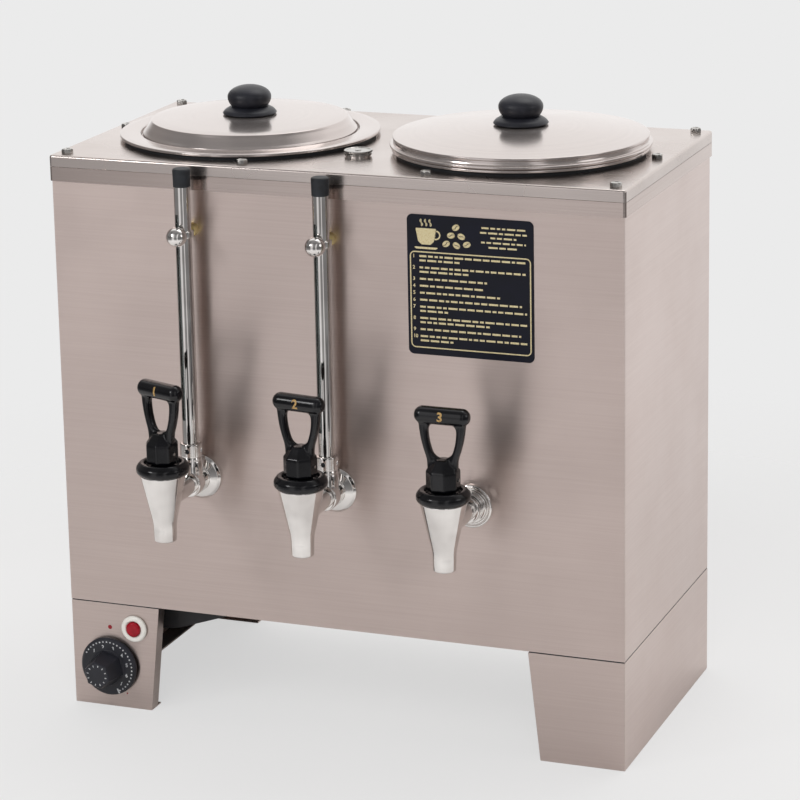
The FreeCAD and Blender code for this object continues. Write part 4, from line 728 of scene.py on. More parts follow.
class URN_OT_pots(bpy.types.Operator):
    """Turned pots with rolled rims and their outlet tubes"""
    bl_idname = "urn.pots"
    bl_label = "Pots and rims"

    def execute(self, context):
        for name, key in (("coffee", "coffee_spun"), ("milk", "milk_spun")):
            low, high = span(f"{name}_pot")
            spot = (low + high) / 2
            rim, top, foot = (high[0] - low[0]) / 2, high[2], low[2]
            back = high[1] - rim
            # the wall is 1.2 mm thick: outside and inside radius of the pot, then of the ledge under its lid
            wall, inside, ledge, seat = 107.2, 106, 112.7, 111.5
            shell = profile((0, foot), (wall, foot, 24), (wall, top - 6.2), (ledge, top - 6.2, 0.6),
                            (ledge, top - 1.5), (rim - 1.4, top - 1.5), (rim - 1.4, top - 3),
                            (rim, top - 3, 0.4), (rim, top - 0.2, 1.5), (rim - 6, top, 4),
                            (seat, top - 0.2, 1.4), (seat, top - 5, 0.8), (inside, top - 5, 1),
                            (inside, foot + 1.2, 23), (0, foot + 1.2), steps=9)
            grids = [(turn(shell, (spot[0], back, 0), steps=192), False, True)]
            front = span("front_panel")[1][1] + 25
            long = back - 103 - front
            tube = profile((10.3, 0), (14, 0, 0.4), (14, long), (10.3, long))
            grids.append((turn(tube, (spot[0], front, span("coffee_tap_body")[0][2] + 43), BACKWARD, 48),
                          True, True))
            piece(f"{name}_pot_spun", grids, finish(key), "urn", (f"{name}_pot",))
        return {"FINISHED"}


class URN_OT_lids(bpy.types.Operator):
    """Spun lids with rolled edges"""
    bl_idname = "urn.lids"
    bl_label = "Lids"

    def execute(self, context):
        lids = context.scene.urn_lids
        spot = middle("coffee_lid")
        low, top = span("coffee_lid")[0][2], span("coffee_lid")[1][2] + lids.coffee_lift / MM
        swell = np.linspace(0, 1, 9)[::-1]
        brow = top - low - 2.8
        crown = np.stack([swell * 98.6, brow + 2.8 * (1 - swell ** 2)], axis=1)
        under = crown[::-1] * (0.99, 1) - (0, 1.2)
        wall = profile((97.5, brow - 1.2), (99.2, brow - 1.9, 1.2), (105.4, 7.6, 1.5), (107.2, 5.4, 0.8),
                       (107.2, 0), (109.5, 0, 0.4), (109.5, 4.4, 1.2), (107.4, 6.6, 0.9),
                       (101.6, brow - 2.6, 4), (100.2, brow - 0.3, 1.2), (98.6, brow))
        line = np.vstack([under, wall[1:-1], crown])
        piece("coffee_lid_disc", [(turn(line, (spot[0], spot[1], low), steps=288), False, True)],
              finish("coffee_spun"), "coffee_lid_set", ("coffee_lid",))
        spot = middle("milk_lid")
        deck, top = span("top_deck")[1][2], span("milk_lid")[1][2] + lids.milk_lift / MM
        brow = top - deck - 9.0
        crown = np.stack([swell * 125.0, brow + 9.0 * (1 - swell ** 2)], axis=1)
        under = crown[::-1] * (0.99, 1) - (0, 1.2)
        wall = profile((124.2, brow - 1.2), (125.0, brow - 1.8, 0.8), (125.0, 7.2), (130, 7.2, 1.4),
                       (130, 10.6, 1.9), (127.0, 10.6, 1.2), (126.3, 12.6, 0.6), (126.3, brow - 3.2, 0.5),
                       (127.0, brow - 2.4, 0.8), (127.0, brow - 0.2, 1.3), (125.0, brow))
        line = np.vstack([under, wall[1:-1], crown])
        skirt = profile((104.4, -11.9), (105, -12, 0.3), (105, 14.8), (103.8, 14.8), (103.8, -12, 0.3),
                        (104.4, -12.1))
        piece("milk_lid_disc", [(turn(line, (spot[0], spot[1], deck), steps=288), False, True),
                                (turn(skirt, (spot[0], spot[1], deck), steps=96), True, True)],
              finish("milk_spun"), "milk_lid_set", ("milk_lid",))
        return {"FINISHED"}


class URN_OT_knobs(bpy.types.Operator):
    """Moulded knobs on both lids"""
    bl_idname = "urn.knobs"
    bl_label = "Lid knobs"

    def execute(self, context):
        lids = context.scene.urn_lids
        bulb, base = lids.bulb / MM, lids.base / MM
        foot = profile((0, 0), (base - 4.5, 0, 1), (base, 1.3, 0.7), (base - 2.6, 4.6, 7), (20.3, 7.7, 1.2),
                       (17.9, 8.0))
        # bulb: an ellipse, flatter above its widest ring than below
        t = np.radians(np.linspace(-37.5, 90, 34))
        egg = np.stack([bulb * np.cos(t) ** 0.95 * (t < np.pi / 2),
                        17.8 + np.where(t < 0, 15.9, 12.0) * np.sin(t)], axis=1)
        line = np.vstack([foot[:-1], egg])
        for lid, lift in (("coffee", lids.coffee_lift), ("milk", lids.milk_lift)):
            low, high = span(f"{lid}_lid_knob")
            place = (*((low + high) / 2)[:2], low[2] + lift / MM)
            piece(f"{lid}_knob", [(turn(line, place), False, True)], finish("nylon"), f"{lid}_lid_set",
                  (f"{lid}_lid_knob",))
        return {"FINISHED"}


class URN_OT_filler(bpy.types.Operator):
    """Filler cap with a dished top and a milled edge"""
    bl_idname = "urn.filler"
    bl_label = "Filler cap"

    def execute(self, context):
        low, high = span("filler_cap")
        seat = low[2] + 10
        line = profile((0, -10), (8, -10, 0.6), (8, 0), (13.6, 0, 0.3), (13.6, 1.7, 0.5), (12.2, 2.0),
                       (12.2, 2.7), (14.2, 2.9, 0.5), (14.2, 4.8, 0.9), (12.4, 5.0, 0.5), (11.6, 4.2, 0.6),
                       (3.2, 4.2, 0.3), (2.9, 4.9, 0.4), (0, 4.95))
        grid = turn(line, (0, 0, 0), steps=180)
        # milled edge: the radius falls by 0.25 mm between 45 ridges on the outer band
        ridges, depth, middle_z = 45, 0.018, 3.7
        angle = np.arange(180) * TAU / 180
        band = np.exp(-(((line[:, 1] - middle_z) / 0.8) ** 4)) * (line[:, 0] > 13)
        grid[..., :2] *= (1 - depth * band[:, None] * (0.5 + 0.5 * np.cos(ridges * angle)))[..., None]
        place = np.array((*((low + high) / 2)[:2], seat))
        piece("filler_cap_turned", [(grid + place, False, True)], finish("rod"), "filler_cap",
              ("filler_cap",))
        return {"FINISHED"}


class URN_OT_taps(bpy.types.Operator):
    """Chromed tap bodies with their outlets and wall shanks"""
    bl_idname = "urn.taps"
    bl_label = "Tap bodies"

    def execute(self, context):
        mouth = context.scene.urn_taps.mouth / MM
        for tap in TAPS:
            low, high = span(f"{tap}_tap_body")
            axis = tap_axis(tap)
            z = low[2] + 43
            body = profile((6.2, -39), (6.2, -40.4, 0.8), (mouth, -40.4, 1.4), (mouth + 0.4, -22, 60),
                           (22.6, 27.0, 1), (22.6, 28.2, 0.6), (17, 28.2), (17, 29, 0.4), (10.4, 29),
                           (10.4, -9), (6.2, -9), (6.2, -38), steps=9)
            shank = profile((5.5, 11), (10, 11, 0.3), (10, high[1] - axis[1], 0.6), (5.5, high[1] - axis[1]))
            collar = profile((9.9, 17.2), (13.4, 17.2, 1.3), (13.4, 24.5, 1.3), (9.9, 24.5))
            at = axis + (0, 0, z)
            grids = [(turn(body, at, steps=128), True, True), (turn(shank, at, BACKWARD, 64), True, True)]
            if tap == "milk":
                grids.append((turn(collar + (0, 44), at, BACKWARD, 64), True, True))
            piece(f"{tap}_tap_cone", grids, finish("chrome"), "urn", (f"{tap}_tap_body",))
        return {"FINISHED"}


class URN_OT_springs(bpy.types.Operator):
    """Closing springs of the taps: seven turns of wire at one length, riding on the tap's carrier"""
    bl_idname = "urn.springs"
    bl_label = "Tap springs"

    def execute(self, context):
        wire_radius, turns, travel = 0.75, 7, 6.9
        for tap in TAPS:
            low, high = span(f"{tap}_spring")
            heart = (low + high) / 2
            round_at = (high[0] - low[0]) / 2 - wire_radius
            t = np.linspace(0, 1, turns * 24 + 1)
            # helix: the height grows evenly with the angle, less in the first and last turn, which lie flat
            height = np.interp(t * turns, [0, 1, turns - 1, turns], [0, 0.09, 0.91, 1])
            height = low[2] + wire_radius + height * (high[2] - low[2] - 2 * wire_radius)
            path = np.stack([heart[0] + round_at * np.cos(TAU * turns * t),
                             heart[1] + round_at * np.sin(TAU * turns * t), height], axis=1)
            made = piece(f"{tap}_wound_spring", [(sweep(path, wire_radius, 10), False, True)], finish("rod"),
                         f"{tap}_carrier", (f"{tap}_spring",), crease=60)
            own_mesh(made)
        return {"FINISHED"}


class URN_OT_wall_flanges(bpy.types.Operator):
    """Domed chrome wall flanges round the shanks"""
    bl_idname = "urn.wall_flanges"
    bl_label = "Wall flanges"

    def execute(self, context):
        low, high = span("escutcheons")
        deep = high[1] - low[1]
        line = profile((21.6, 0), (23, 0, 0.4), (23, deep * 0.28, 1.6), (20.4, deep * 0.55, 3),
                       (15.5, deep * 0.72, 2.5), (13, deep * 0.8, 0.8), (13, deep, 0.9), (10.1, deep, 0.3),
                       (10.1, deep * 0.5), (15.6, deep * 0.45, 2), (21.0, deep * 0.2, 1))
        grids = [(turn(line, (tap_axis(tap)[0], high[1], middle("escutcheons")[2]), FORWARD, 96), True, True)
                 for tap in TAPS[:2]]
        # the milk tap's flange is a deeper cup with rings, opening towards the viewer
        cup = profile((14, 0), (17.5, 0, 0.6), (18.2, 4, 1), (21.6, 9.5, 2), (21.6, 12.2, 1),
                      (19.6, 13.2, 1), (18.4, 11.6, 0.8), (16.9, 11.6, 0.8), (16.2, 14.4, 1.2),
                      (13.6, 14.4, 0.8), (13.2, 16.4, 0.8), (10.1, 16.4, 0.3), (10.1, 3), (14, 3))
        grids.append((turn(cup, (tap_axis("milk")[0], high[1], middle("escutcheons")[2]), FORWARD, 128),
                      True, True))
        piece("wall_flanges", grids, finish("chrome"), "urn", ("escutcheons",))
        return {"FINISHED"}


class URN_OT_grip_rings(bpy.types.Operator):
    """Black grip rings under the handles"""
    bl_idname = "urn.grip_rings"
    bl_label = "Grip rings"

    def execute(self, context):
        out = context.scene.urn_taps.grip_ring / MM
        low = span("bonnets")[0][2]
        line = profile((17.05, 7.2), (20.2, 6.6), (20.2, 5.6, 0.6), (out - 3, 5.6, 3), (out, 9.0, 3.5),
                       (out, 14.0, 5), (out - 4.0, 19.2, 4.5), (18.3, 18.6, 1.5), (17.6, 14.6, 1.0),
                       (12.6, 14, 0.4), (3.06, 14), (3.06, 8), (17.05, 8))
        grids = [(turn(line, tap_axis(tap) + (0, 0, low), steps=112), True, True) for tap in TAPS]
        piece("grip_rings", grids, finish("phenolic"), "urn", ("bonnets",))
        return {"FINISHED"}


HANDLE_TURNS = {"coffee": 20.0, "water": 8.0, "milk": 0.0}


class URN_OT_handles(bpy.types.Operator):
    """Moulded stirrup handles with a window and a grip bar, and a plain figure on each bar"""
    bl_idname = "urn.handles"
    bl_label = "Handles"

    def execute(self, context):
        taps = context.scene.urn_taps
        for index, tap in enumerate(TAPS, 1):
            self.handle(tap, taps, str(index), context.scene.urn_print.figure / MM)
        return {"FINISHED"}

    def handle(self, tap, taps, figure, tall):
        """Hub, loop and bar as overlapping surfaces, blended by a remesh, then slotted for the stem."""
        heel = span(f"{tap}_handle")[0][2]
        at = tap_axis(tap) + (0, 0, heel)
        bar, bar_up = taps.bar / MM, 74.6
        hub = turn(profile((0, 0), (12, 0, 0.5), (12, 2.4), (15.4, 2.9, 0.8), (15.4, 21.5, 1.5),
                           (7.5, 32.5, 3), (0, 33)), (0, 0, 0), steps=96)
        # eight flats: the round radius is divided by the cosine of the angle from a flat's middle
        angle = np.arange(96) * TAU / 96
        facet = 1 / np.cos((angle + TAU / 16) % (TAU / 8) - TAU / 16)
        flats = (hub[:, :1, 2] > 2.5).astype(float)
        hub[..., :2] *= (1 + flats * (facet - 1))[..., None]
        rod = profile((0, -27.2), (bar - 4.2, -27.2, 3.6), (bar, -22.6, 6), (bar, 22.6, 6),
                      (bar - 4.2, 27.2, 3.6), (0, 27.2), steps=10)
        window = spline([(0, 66.2), (10.2, 66.0), (13.9, 61.6), (13.7, 53), (12.0, 44.5), (8.6, 36.8),
                         (0, 33.0)])
        outer = spline([(0, 80), (15, 80), (23.4, 75), (23.1, 64), (21.3, 52), (18.4, 41), (15.6, 32),
                        (15.0, 22), (14.4, 13), (8, 10), (0, 10)])
        loop = self.loop(window, outer, (0, 50), 4.9)
        grids = [(hub, False, True), (turn(rod, (0, 0, bar_up), (1, 0, 0), 48), False, True),
                 (loop, True, True)]
        turned = -HANDLE_TURNS[tap]
        grids = [(swing(grid, turned, np.zeros(3)) + at, a, b) for grid, a, b in grids]
        block = linked("blank", mesh_of(f"{tap}_stirrup", grids))
        blend = block.modifiers.new("blend", "REMESH")
        blend.mode = "VOXEL"
        blend.voxel_size = taps.moulding
        ease = block.modifiers.new("ease", "SMOOTH")
        ease.factor, ease.iterations = 0.5, 7
        slot = oblong(-3.5, 3.5, -13.5, 5, 0.4, 2)
        slot = rise(slot, [(0, -2), (0, 18)])
        cutter = linked("slot", mesh_of("slot", [(swing(slot, turned, np.zeros(3)) + at, False, True)]))
        saw = block.modifiers.new("slot", "BOOLEAN")
        saw.operation, saw.object, saw.solver = "DIFFERENCE", cutter, "EXACT"
        mesh = evaluated(block)
        mesh.name = f"{tap}_stirrup"
        bpy.data.objects.remove(cutter)
        bpy.data.objects.remove(block)
        mesh.shade_smooth()
        mesh.set_sharp_from_angle(angle=math.radians(50))
        settle(linked(f"{tap}_stirrup", mesh), finish("phenolic"), f"{tap}_lever",
               (f"{tap}_handle",))
        spots, faces = number(figure, tall)
        # the figure's height runs round the bar: its angle is its height over the bar's radius
        reach = bar - 0.02 + spots[:, 2]
        angle = spots[:, 1] / bar + math.radians(6)
        bent = np.stack([spots[:, 0], -reach * np.cos(angle), bar_up + reach * np.sin(angle)], axis=1)
        print_piece(f"{tap}_handle_figure", [(swing(bent, turned, np.zeros(3)) + at, faces)],
                    finish("gold_ink"), f"{tap}_lever")

    @staticmethod
    def loop(window, outer, heart, half):
        """Ring of superellipse sections between two outlines: each section spans from one outline to the
        other along a ray from the heart and is as deep as twice the half."""
        ray = np.arange(120) * TAU / 120
        reach = []
        for outline in (window, outer):
            spot = outline - heart
            angle = np.arctan2(spot[:, 1], spot[:, 0]) % TAU
            order = np.argsort(angle)
            reach.append(np.interp(ray, angle[order], np.hypot(*spot[order].T), period=TAU))
        near, far = reach
        v = np.arange(32) * TAU / 32
        c, s = np.cos(v), np.sin(v)
        flat, deep = np.sign(c) * np.abs(c) ** 0.78, np.sign(s) * np.abs(s) ** 0.78
        radius = (near + far)[:, None] / 2 + (far - near)[:, None] / 2 * flat
        return np.stack([heart[0] + radius * np.cos(ray)[:, None], np.broadcast_to(half * deep, radius.shape),
                         heart[1] + radius * np.sin(ray)[:, None]], axis=2)


def gauge_axes():
    """Places of the two gauges' upright axes on the counter, in millimetres."""
    low, high = span("gauge_guards")
    reach = (high[1] - low[1]) / 2
    return [np.array((x, (low[1] + high[1]) / 2, 0.0)) for x in (low[0] + reach, high[0] - reach)]


class URN_OT_gauges(bpy.types.Operator):
    """Level gauges: tees, spanner nuts, slotted tubes, clips, dome nuts, distance pieces and caps"""
    bl_idname = "urn.gauges"
    bl_label = "Level gauges"

    def execute(self, context):
        axes = gauge_axes()
        self.tees(axes)
        self.nuts(axes)
        self.guards(axes)
        self.clips(axes)
        self.caps(axes)
        return {"FINISHED"}

    def tees(self, axes):
        low, high = span("gauge_tees")
        half = (high[1] - low[1]) / 2
        deep = min(half, 11.0)
        shank_z = low[2] + 13.5
        collar = profile((10, -deep), (13.5, -deep, 2), (13.5, deep, 2), (10, deep))
        stub = profile((10.3, 7), (11.5, 7), (11.5, 22), (10.9, 23, 0.8), (10.9, 25.4, 0.6), (10.2, 27),
                       (5, 27), (5, 10.6), (10.3, 10.6))
        grids = []
        for axis in axes:
            at = axis + (0, 0, shank_z)
            grids += [(turn(collar, at, BACKWARD, 96), True, True), (turn(stub, at, steps=96), True, True)]
        piece("gauge_elbows", grids, finish("chrome"), "urn", ("gauge_tees",))

    def nuts(self, axes):
        low, high = span("gauge_nuts")
        tall = high[2] - low[2]
        outer, pit, sunk, lean = 11.0, 2.0, 2.8, 2
        wall = np.stack([np.full(40, outer), np.linspace(1.2, tall - 1.2, 40)], axis=1)
        line = np.vstack([[(6.0, 0), (10.2, 0), (10.8, 0.4)], wall,
                          [(10.8, tall - 0.4), (10.2, tall), (8.05, tall), (8.05, 6), (6.0, 6)]])
        angle = np.arange(240) * TAU / 240
        # four round pits: the wall sinks by 2.8 mm inside 2 mm of each pit's middle
        round_way = ((angle + TAU / 8) % (TAU / 4) - TAU / 8) * outer
        far = np.hypot(line[:, 1, None] - tall / 2, round_way)
        sink = sunk * np.clip((pit + 0.35 - far) / 0.3, 0, 1) * (line[:, 0, None] > outer - 0.1)
        radius = line[:, 0, None] - sink
        grid = np.stack([radius * np.cos(angle), radius * np.sin(angle),
                         np.broadcast_to(line[:, 1, None], radius.shape)], axis=2)
        grids = [(swing(grid, lean, np.zeros(3)) + axis + (0, 0, low[2]), True, True) for axis in axes]
        piece("gauge_spanner_nuts", grids, finish("chrome"), "urn", ("gauge_nuts",),
              crease=45)
        # a black disc at the floor of each pit: painted shade for the pit's depth
        pit_shades = []
        for axis in axes:
            for k in range(4):
                a = math.radians(lean + 90 * k)
                out = np.array((math.cos(a), math.sin(a), 0))
                disc = rise(disc_line(0, 0, pit), [(0, 0), (0, 0.5)])
                spot = axis + out * (outer - sunk + 0.4) + (0, 0, low[2] + tall / 2)
                pit_shades.append((lay(disc, spot, (-out[1], out[0], 0)), False, True))
        piece("gauge_nut_pit_shades", pit_shades, finish("rubber"), "urn")

    def guards(self, axes):
        """Tube with one slot: at each height the wall runs round from one slot edge to the other, and the
        slot's half width follows a rounded rectangle."""
        low, high = span("gauge_guards")
        # outer radius, wall, the slot's half width, and its way: 25 degrees left of straight ahead
        out, wall, half, ahead = 8.0, 1.0, 2.75, math.radians(-90 - 25)
        first, last = low[2] + 36, low[2] + 245
        ends = np.array((0, 0.05, 0.2, 0.5, 1.0, 1.8, 2.75))
        heights = np.concatenate([np.linspace(low[2], first - 0.01, 6), first + ends,
                                  np.linspace(first + 8, last - 8, 24), last - ends[::-1],
                                  np.linspace(last + 0.01, high[2], 6)])
        inset = np.clip(np.minimum(heights - first, last - heights) / half, 0, 1)
        width = half * (1 - (1 - inset) ** 4) ** 0.25
        width[(heights <= first) | (heights >= last)] = 0
        v = np.linspace(0, 1, 81)
        sheets = []
        for radius in (out, out - wall):
            open_by = np.arcsin(width / radius)
            angle = ahead + open_by[:, None] + v * (TAU - 2 * open_by[:, None])
            sheets.append(np.stack([radius * np.cos(angle), radius * np.sin(angle),
                                    np.broadcast_to(heights[:, None], angle.shape)], axis=2))
        shell = np.concatenate([sheets[0], sheets[1][::-1]])
        rows = np.flatnonzero(width > 0)
        rows = slice(rows[0] - 1, rows[-1] + 2)
        edges = [np.stack([sheets[0][rows, k], sheets[1][rows, k]], axis=1) for k in (0, -1)]
        grids = []
        for axis in axes:
            grids += [(shell + axis, True, False), *((edge + axis, False, False) for edge in edges)]
        piece("gauge_slotted_tubes", grids, finish("chrome"), "urn", ("gauge_guards",))

    def clips(self, axes):
        low, high = span("gauge_clips")
        back = span("front_panel")[0][1]
        dome_front = span("gauge_dome_nuts")[0][1]
        ring_line = profile((8.02, 0), (10.2, 0, 1.5), (10.2, 7, 1.5), (8.02, 7))
        lug = profile((0, 8.6), (3.1, 8.6), (3.1, 11.7, 0.3), (0, 11.7))
        t = np.linspace(math.asin(-0.54), math.pi / 2, 32)
        ball = np.stack([10 * np.cos(t) * (t < np.pi / 2), 10 * np.sin(t)], axis=1)
        ball = np.vstack([[(0, -0.4), (3.72, -0.4), (3.72, -5.4)], ball])
        rings, nuts, spacers = [], [], []
        for axis in axes:
            z = (low[2] + high[2]) / 2
            at = axis + (0, 0, z)
            rings += [(turn(ring_line, axis + (0, 0, low[2]), steps=96), True, True),
                      (turn(lug, at, FORWARD, 48), False, True)]
            nuts.append((turn(ball, (axis[0], dome_front + 10, z), FORWARD, 96), False, True))
            deep = back - (axis[1] + 10.2)
            block = profile((0, 0), (5.6, 0), (5.6, 1.2, 0.2), (7, 1.5, 0.3), (7, deep, 0.3), (0, deep))
            spacers.append((turn(block, (axis[0], axis[1] + 10.2, z), BACKWARD, 64), False, True))
        piece("gauge_eye_clips", rings, finish("chrome"), "urn", ("gauge_clips",))
        piece("gauge_ball_nuts", nuts, finish("chrome"), "urn", ("gauge_dome_nuts",))
        piece("gauge_distance_pieces", spacers, finish("brass"), "urn", ("gauge_spacers",))

    def caps(self, axes):
        line = profile((0, 12.6), (8.12, 12.6, 0.4), (8.12, 0), (8.5, 0, 0.2), (8.6, 9, 20), (8.9, 18, 2.2),
                       (0, 18), steps=9)
        for name, axis in zip(("coffee", "water"), axes):
            low = span(f"{name}_gauge_cap")[0][2]
            piece(f"{name}_gauge_hood", [(turn(line, axis + (0, 0, low), steps=80), False, True)],
                  finish("rubber"), f"{name}_gauge_cap", (f"{name}_gauge_cap",))


def bar_grid(x0, x1, y0, y1, depth=0.08):
    """Flat printed bar between two corners of a drawing, as a closed slab."""
    return rise(oblong(x0, x1, y0, y1), [(0, 0), (0, depth)])


def frame_line(x0, x1, y0, y1, corner, width, depth=0.08):
    """Printed line round a rectangle: outer and inner outlines with their lower copies, as a closed band."""
    out = oblong(x0, x1, y0, y1, corner, 6)
    inside = oblong(x0 + width, x1 - width, y0 + width, y1 - width, corner * 0.7, 6)
    layers = [(out, 0), (out, depth), (inside, depth), (inside, 0)]
    return np.stack([np.column_stack([line, np.full(len(line), h)]) for line, h in layers])


class URN_OT_label(bpy.types.Operator):
    """Rounded plate with a gold frame, ten numbered rows of dashes, a cup sign and header dashes"""
    bl_idname = "urn.label"
    bl_label = "Numbered label"

    def execute(self, context):
        low, high = span("label_plate")
        heart = (low + high) / 2
        half_x, half_z = (high[0] - low[0]) / 2, (high[2] - low[2]) / 2
        deep = high[1] - low[1]
        outline = oblong(-half_x, half_x, -half_z, half_z, 5.5, 10)
        face = np.array((heart[0], low[1], heart[2]))
        plate = lay(rise(outline, [(0, -deep), (0, -0.25), (0.25, 0)]), face)
        piece("label_plate_face", [(plate, False, True)], finish("plate"), "urn",
              ("label_plate",))
        gold = [frame_line(-61.3, 61.4, -62.6, 33.2, 5.0, context.scene.urn_print.line / MM)]
        gold += self.header() + self.cup()
        parts = [solid_part(grid, True) for grid in gold]
        rows, figures = self.rows()
        parts += [solid_part(grid) for grid in rows]
        parts += figures
        placed = [(lay(np.asarray(points, float), face), faces) for points, faces in parts]
        print_piece("label_print", placed, finish("gold"), "urn")
        return {"FINISHED"}

    def header(self):
        """Five centred lines of dashes beside the sign."""
        bars = []
        centre, top, pitch, tall = 34, 60.0, 4.7, 1.7
        for k, width in enumerate((44, 47, 26, 45, 30)):
            bars += dashes(centre - width / 2, centre + width / 2, top - pitch * k, tall, k)
        return bars

    def cup(self):
        """A plain cup on a saucer drawn by outlines of squares and arcs."""
        bowl = rise(ring([(-55, 56, 0.6), (-34, 56, 0.6), (-36.5, 43, 4), (-40, 40, 1), (-49, 40, 1),
                          (-52.5, 43, 4)],
                         5), [(0, 0), (0, 0.08)])
        saucer = rise(ring([(-57.5, 37.6, 0.8), (-31.5, 37.6, 0.8), (-34.5, 35.6, 0.8), (-54.5, 35.6, 0.8)],
                           4), [(0, 0), (0, 0.08)])
        t = np.radians(np.linspace(-100, 75, 20))
        ear = np.stack([-34.9 + 4.6 * np.cos(t), 49.8 + 4.2 * np.sin(t), 0.04 + 0 * t], axis=1)
        lines = [flat_strip(ear, 1.3)]
        wave = np.linspace(0, 1, 14)
        for x in (-49, -44.5, -40):
            steam = np.stack([x + 1.3 * np.sin(TAU * wave), 58 + 7 * wave, 0 * wave], axis=1)
            lines.append(flat_strip(steam, 0.9))
        beans = ((-24, 42, 0.5), (-13.5, 41, -0.6), (-3, 42.5, 0.3), (-19, 50.5, 0.1), (-8.5, 50, -0.4),
                 (-14, 58.5, 0.5))
        for x, z, lean in beans:
            lines += self.bean(x, z, lean)
        return [bowl, saucer, *lines]

    @staticmethod
    def bean(x, z, lean):
        """A coffee bean: two halves of an ellipse on either side of a bent gap."""
        t = np.linspace(-1, 1, 16)
        halves = []
        for side in (-1, 1):
            edge = np.stack([4.0 * t, side * 2.9 * np.sqrt(1 - t ** 2)], axis=1)
            cleft = np.stack([4.0 * t[::-1], side * 0.35 + 0.7 * np.sin(np.pi * t[::-1])], axis=1)[1:-1]
            outline = np.vstack([edge, cleft])
            c, s = math.cos(lean), math.sin(lean)
            turned = outline @ np.array(((c, s), (-s, c))) + (x, z)
            halves.append(rise(turned, [(0, 0), (0, 0.08)]))
        return halves

    def rows(self):
        """Numbered rows: a figure, then one or two lines of dashes, each to its own end."""
        ends = ((57, -9), (56, 0), (17,), (15,), (30,), (52,), (57, -23), (57, 22), (51,), (57, -18))
        left, start, half_line, pitch, gap = -58.4, -51.5, 2.0, 4.3, 2.6
        bars, figures = [], []
        z = 30.4
        for k, row in enumerate(ends):
            points, faces = number(str(k + 1), 3.6, 0.08)
            width = 2.2 if k < 9 else 4.6
            figures.append((points + (left + width / 2, z - half_line, 0), faces))
            for line, end in enumerate(row):
                bars += dashes(start, end, z - half_line, 1.9, 3 * k + line)
                z -= pitch
            z -= gap
        return bars, figures


def dashes(x0, x1, y, tall, seed):
    """A line of dashes of uneven length, as printed bars."""
    draw = np.random.default_rng(seed)
    shortest, gap = 1.5, 1.7
    bars, x = [], x0
    while x < x1 - shortest:
        wide = min(float(draw.uniform(3.2, 9.5)), x1 - x)
        bars.append(bar_grid(x, x + wide, y - tall / 2, y + tall / 2))
        x += wide + gap
    return bars


def flat_strip(path, width, depth=0.08):
    """Printed stroke of a width along a path in the drawing, as the four long lines of its edges."""
    ahead = np.gradient(path[:, :2], axis=0)
    ahead /= np.linalg.norm(ahead, axis=1)[:, None]
    side = np.column_stack([-ahead[:, 1], ahead[:, 0]]) * width / 2
    flat = path[:, :2]
    lines = [np.column_stack([flat + sign * side, np.full(len(flat), h)])
             for sign, h in ((1, 0), (1, depth), (-1, depth), (-1, 0))]
    return np.stack(lines)


class URN_OT_dial(bpy.types.Operator):
    """Thermostat dial with a skirt, a waisted grip, dots, figures and ticks"""
    bl_idname = "urn.dial"
    bl_label = "Dial"

    def execute(self, context):
        low, high = span("thermostat_dial")
        heart = (low + high) / 2
        face = high[1] - low[1]
        line = profile((4, 0), (29.6, 0, 0.5), (31, 1.5, 0.8), (31, 4.2, 1.2), (28.7, 6.5, 1.2),
                       (18.4, 6.7, 1.2), (17.4, 8.2, 1.5), (13.6, face - 1.4, 1.2), (12.4, face, 1.2),
                       (0, face), steps=8)
        line = np.vstack([line, [(0, 14.2), (3, 14.2), (3, 2), (4, 2)]])
        grid = turn(line, (0, 0, 0), UP, 168)
        # six flats on the grip: the radius is divided by the cosine of the angle from a flat's middle
        angle = np.arange(168) * TAU / 168
        facet = 0.94 / np.cos((angle + TAU / 12) % (TAU / 6) - TAU / 12)
        grip = ((line[:, 1] > 8) & (line[:, 0] > 9)).astype(float)[:, None]
        grid[..., :2] *= (1 + grip * (facet - 1))[..., None]
        grid = lay(swing(grid, 12, np.zeros(3)), (heart[0], high[1], heart[2]))
        piece("dial_knob", [(grid, True, True)], finish("nylon"), "dial",
              ("thermostat_dial",))
        # a row of dots and one long tick on the skirt, ticks round the top, figures between
        skirt, dots_at = 6.5, 27.3
        white = [self.dot(dots_at * math.cos(a), dots_at * math.sin(a), 0.85, skirt)
                 for a in map(math.radians, np.linspace(150, -62, 26))]
        white += [self.tick(math.radians(degrees), 9.2, 11.2, 0.9, face) for degrees in np.linspace(80, -250,
                                                                                                    12)]
        white.append(self.tick(math.radians(-66), 24.5, 30.0, 1.7, skirt))
        parts = [solid_part(grid, True) for grid in white]
        for figure in range(1, 8):
            a = math.radians(162 - 30 * figure)
            points, faces = number(str(figure), 4.0, 0.1)
            parts.append((points + (22.2 * math.cos(a), 22.0 * math.sin(a), 6.55), faces))
        place = (heart[0], high[1], heart[2])
        placed = [(lay(np.asarray(points, float), place), faces) for points, faces in parts]
        print_piece("dial_print", placed, finish("white_ink"), "dial")
        # red index dots on the leg, above the dial and at its lower right
        panel = span("left_leg")[0][1]
        dots = [solid_part(lay(rise(disc_line(x, z, radius), [(0, -0.02), (0, 0.1)]),
                               (heart[0], panel, heart[2])))
                for x, z, radius in ((0.8, 41.4, 2.3), (17.5, -29.4, 0.9))]
        print_piece("index_dots", dots, finish("red_ink"), "urn")
        return {"FINISHED"}

    @staticmethod
    def dot(x, y, radius, height):
        return rise(disc_line(x, y, radius), [(0, height - 0.05), (0, height + 0.12)])

    @staticmethod
    def tick(angle, near, far, width, height):
        out = np.array((math.cos(angle), math.sin(angle)))
        side = np.array((-out[1], out[0])) * width / 2
        spots = [out * near - side, out * far - side, out * far + side, out * near + side]
        return rise(np.array(spots), [(0, height - 0.05), (0, height + 0.12)])


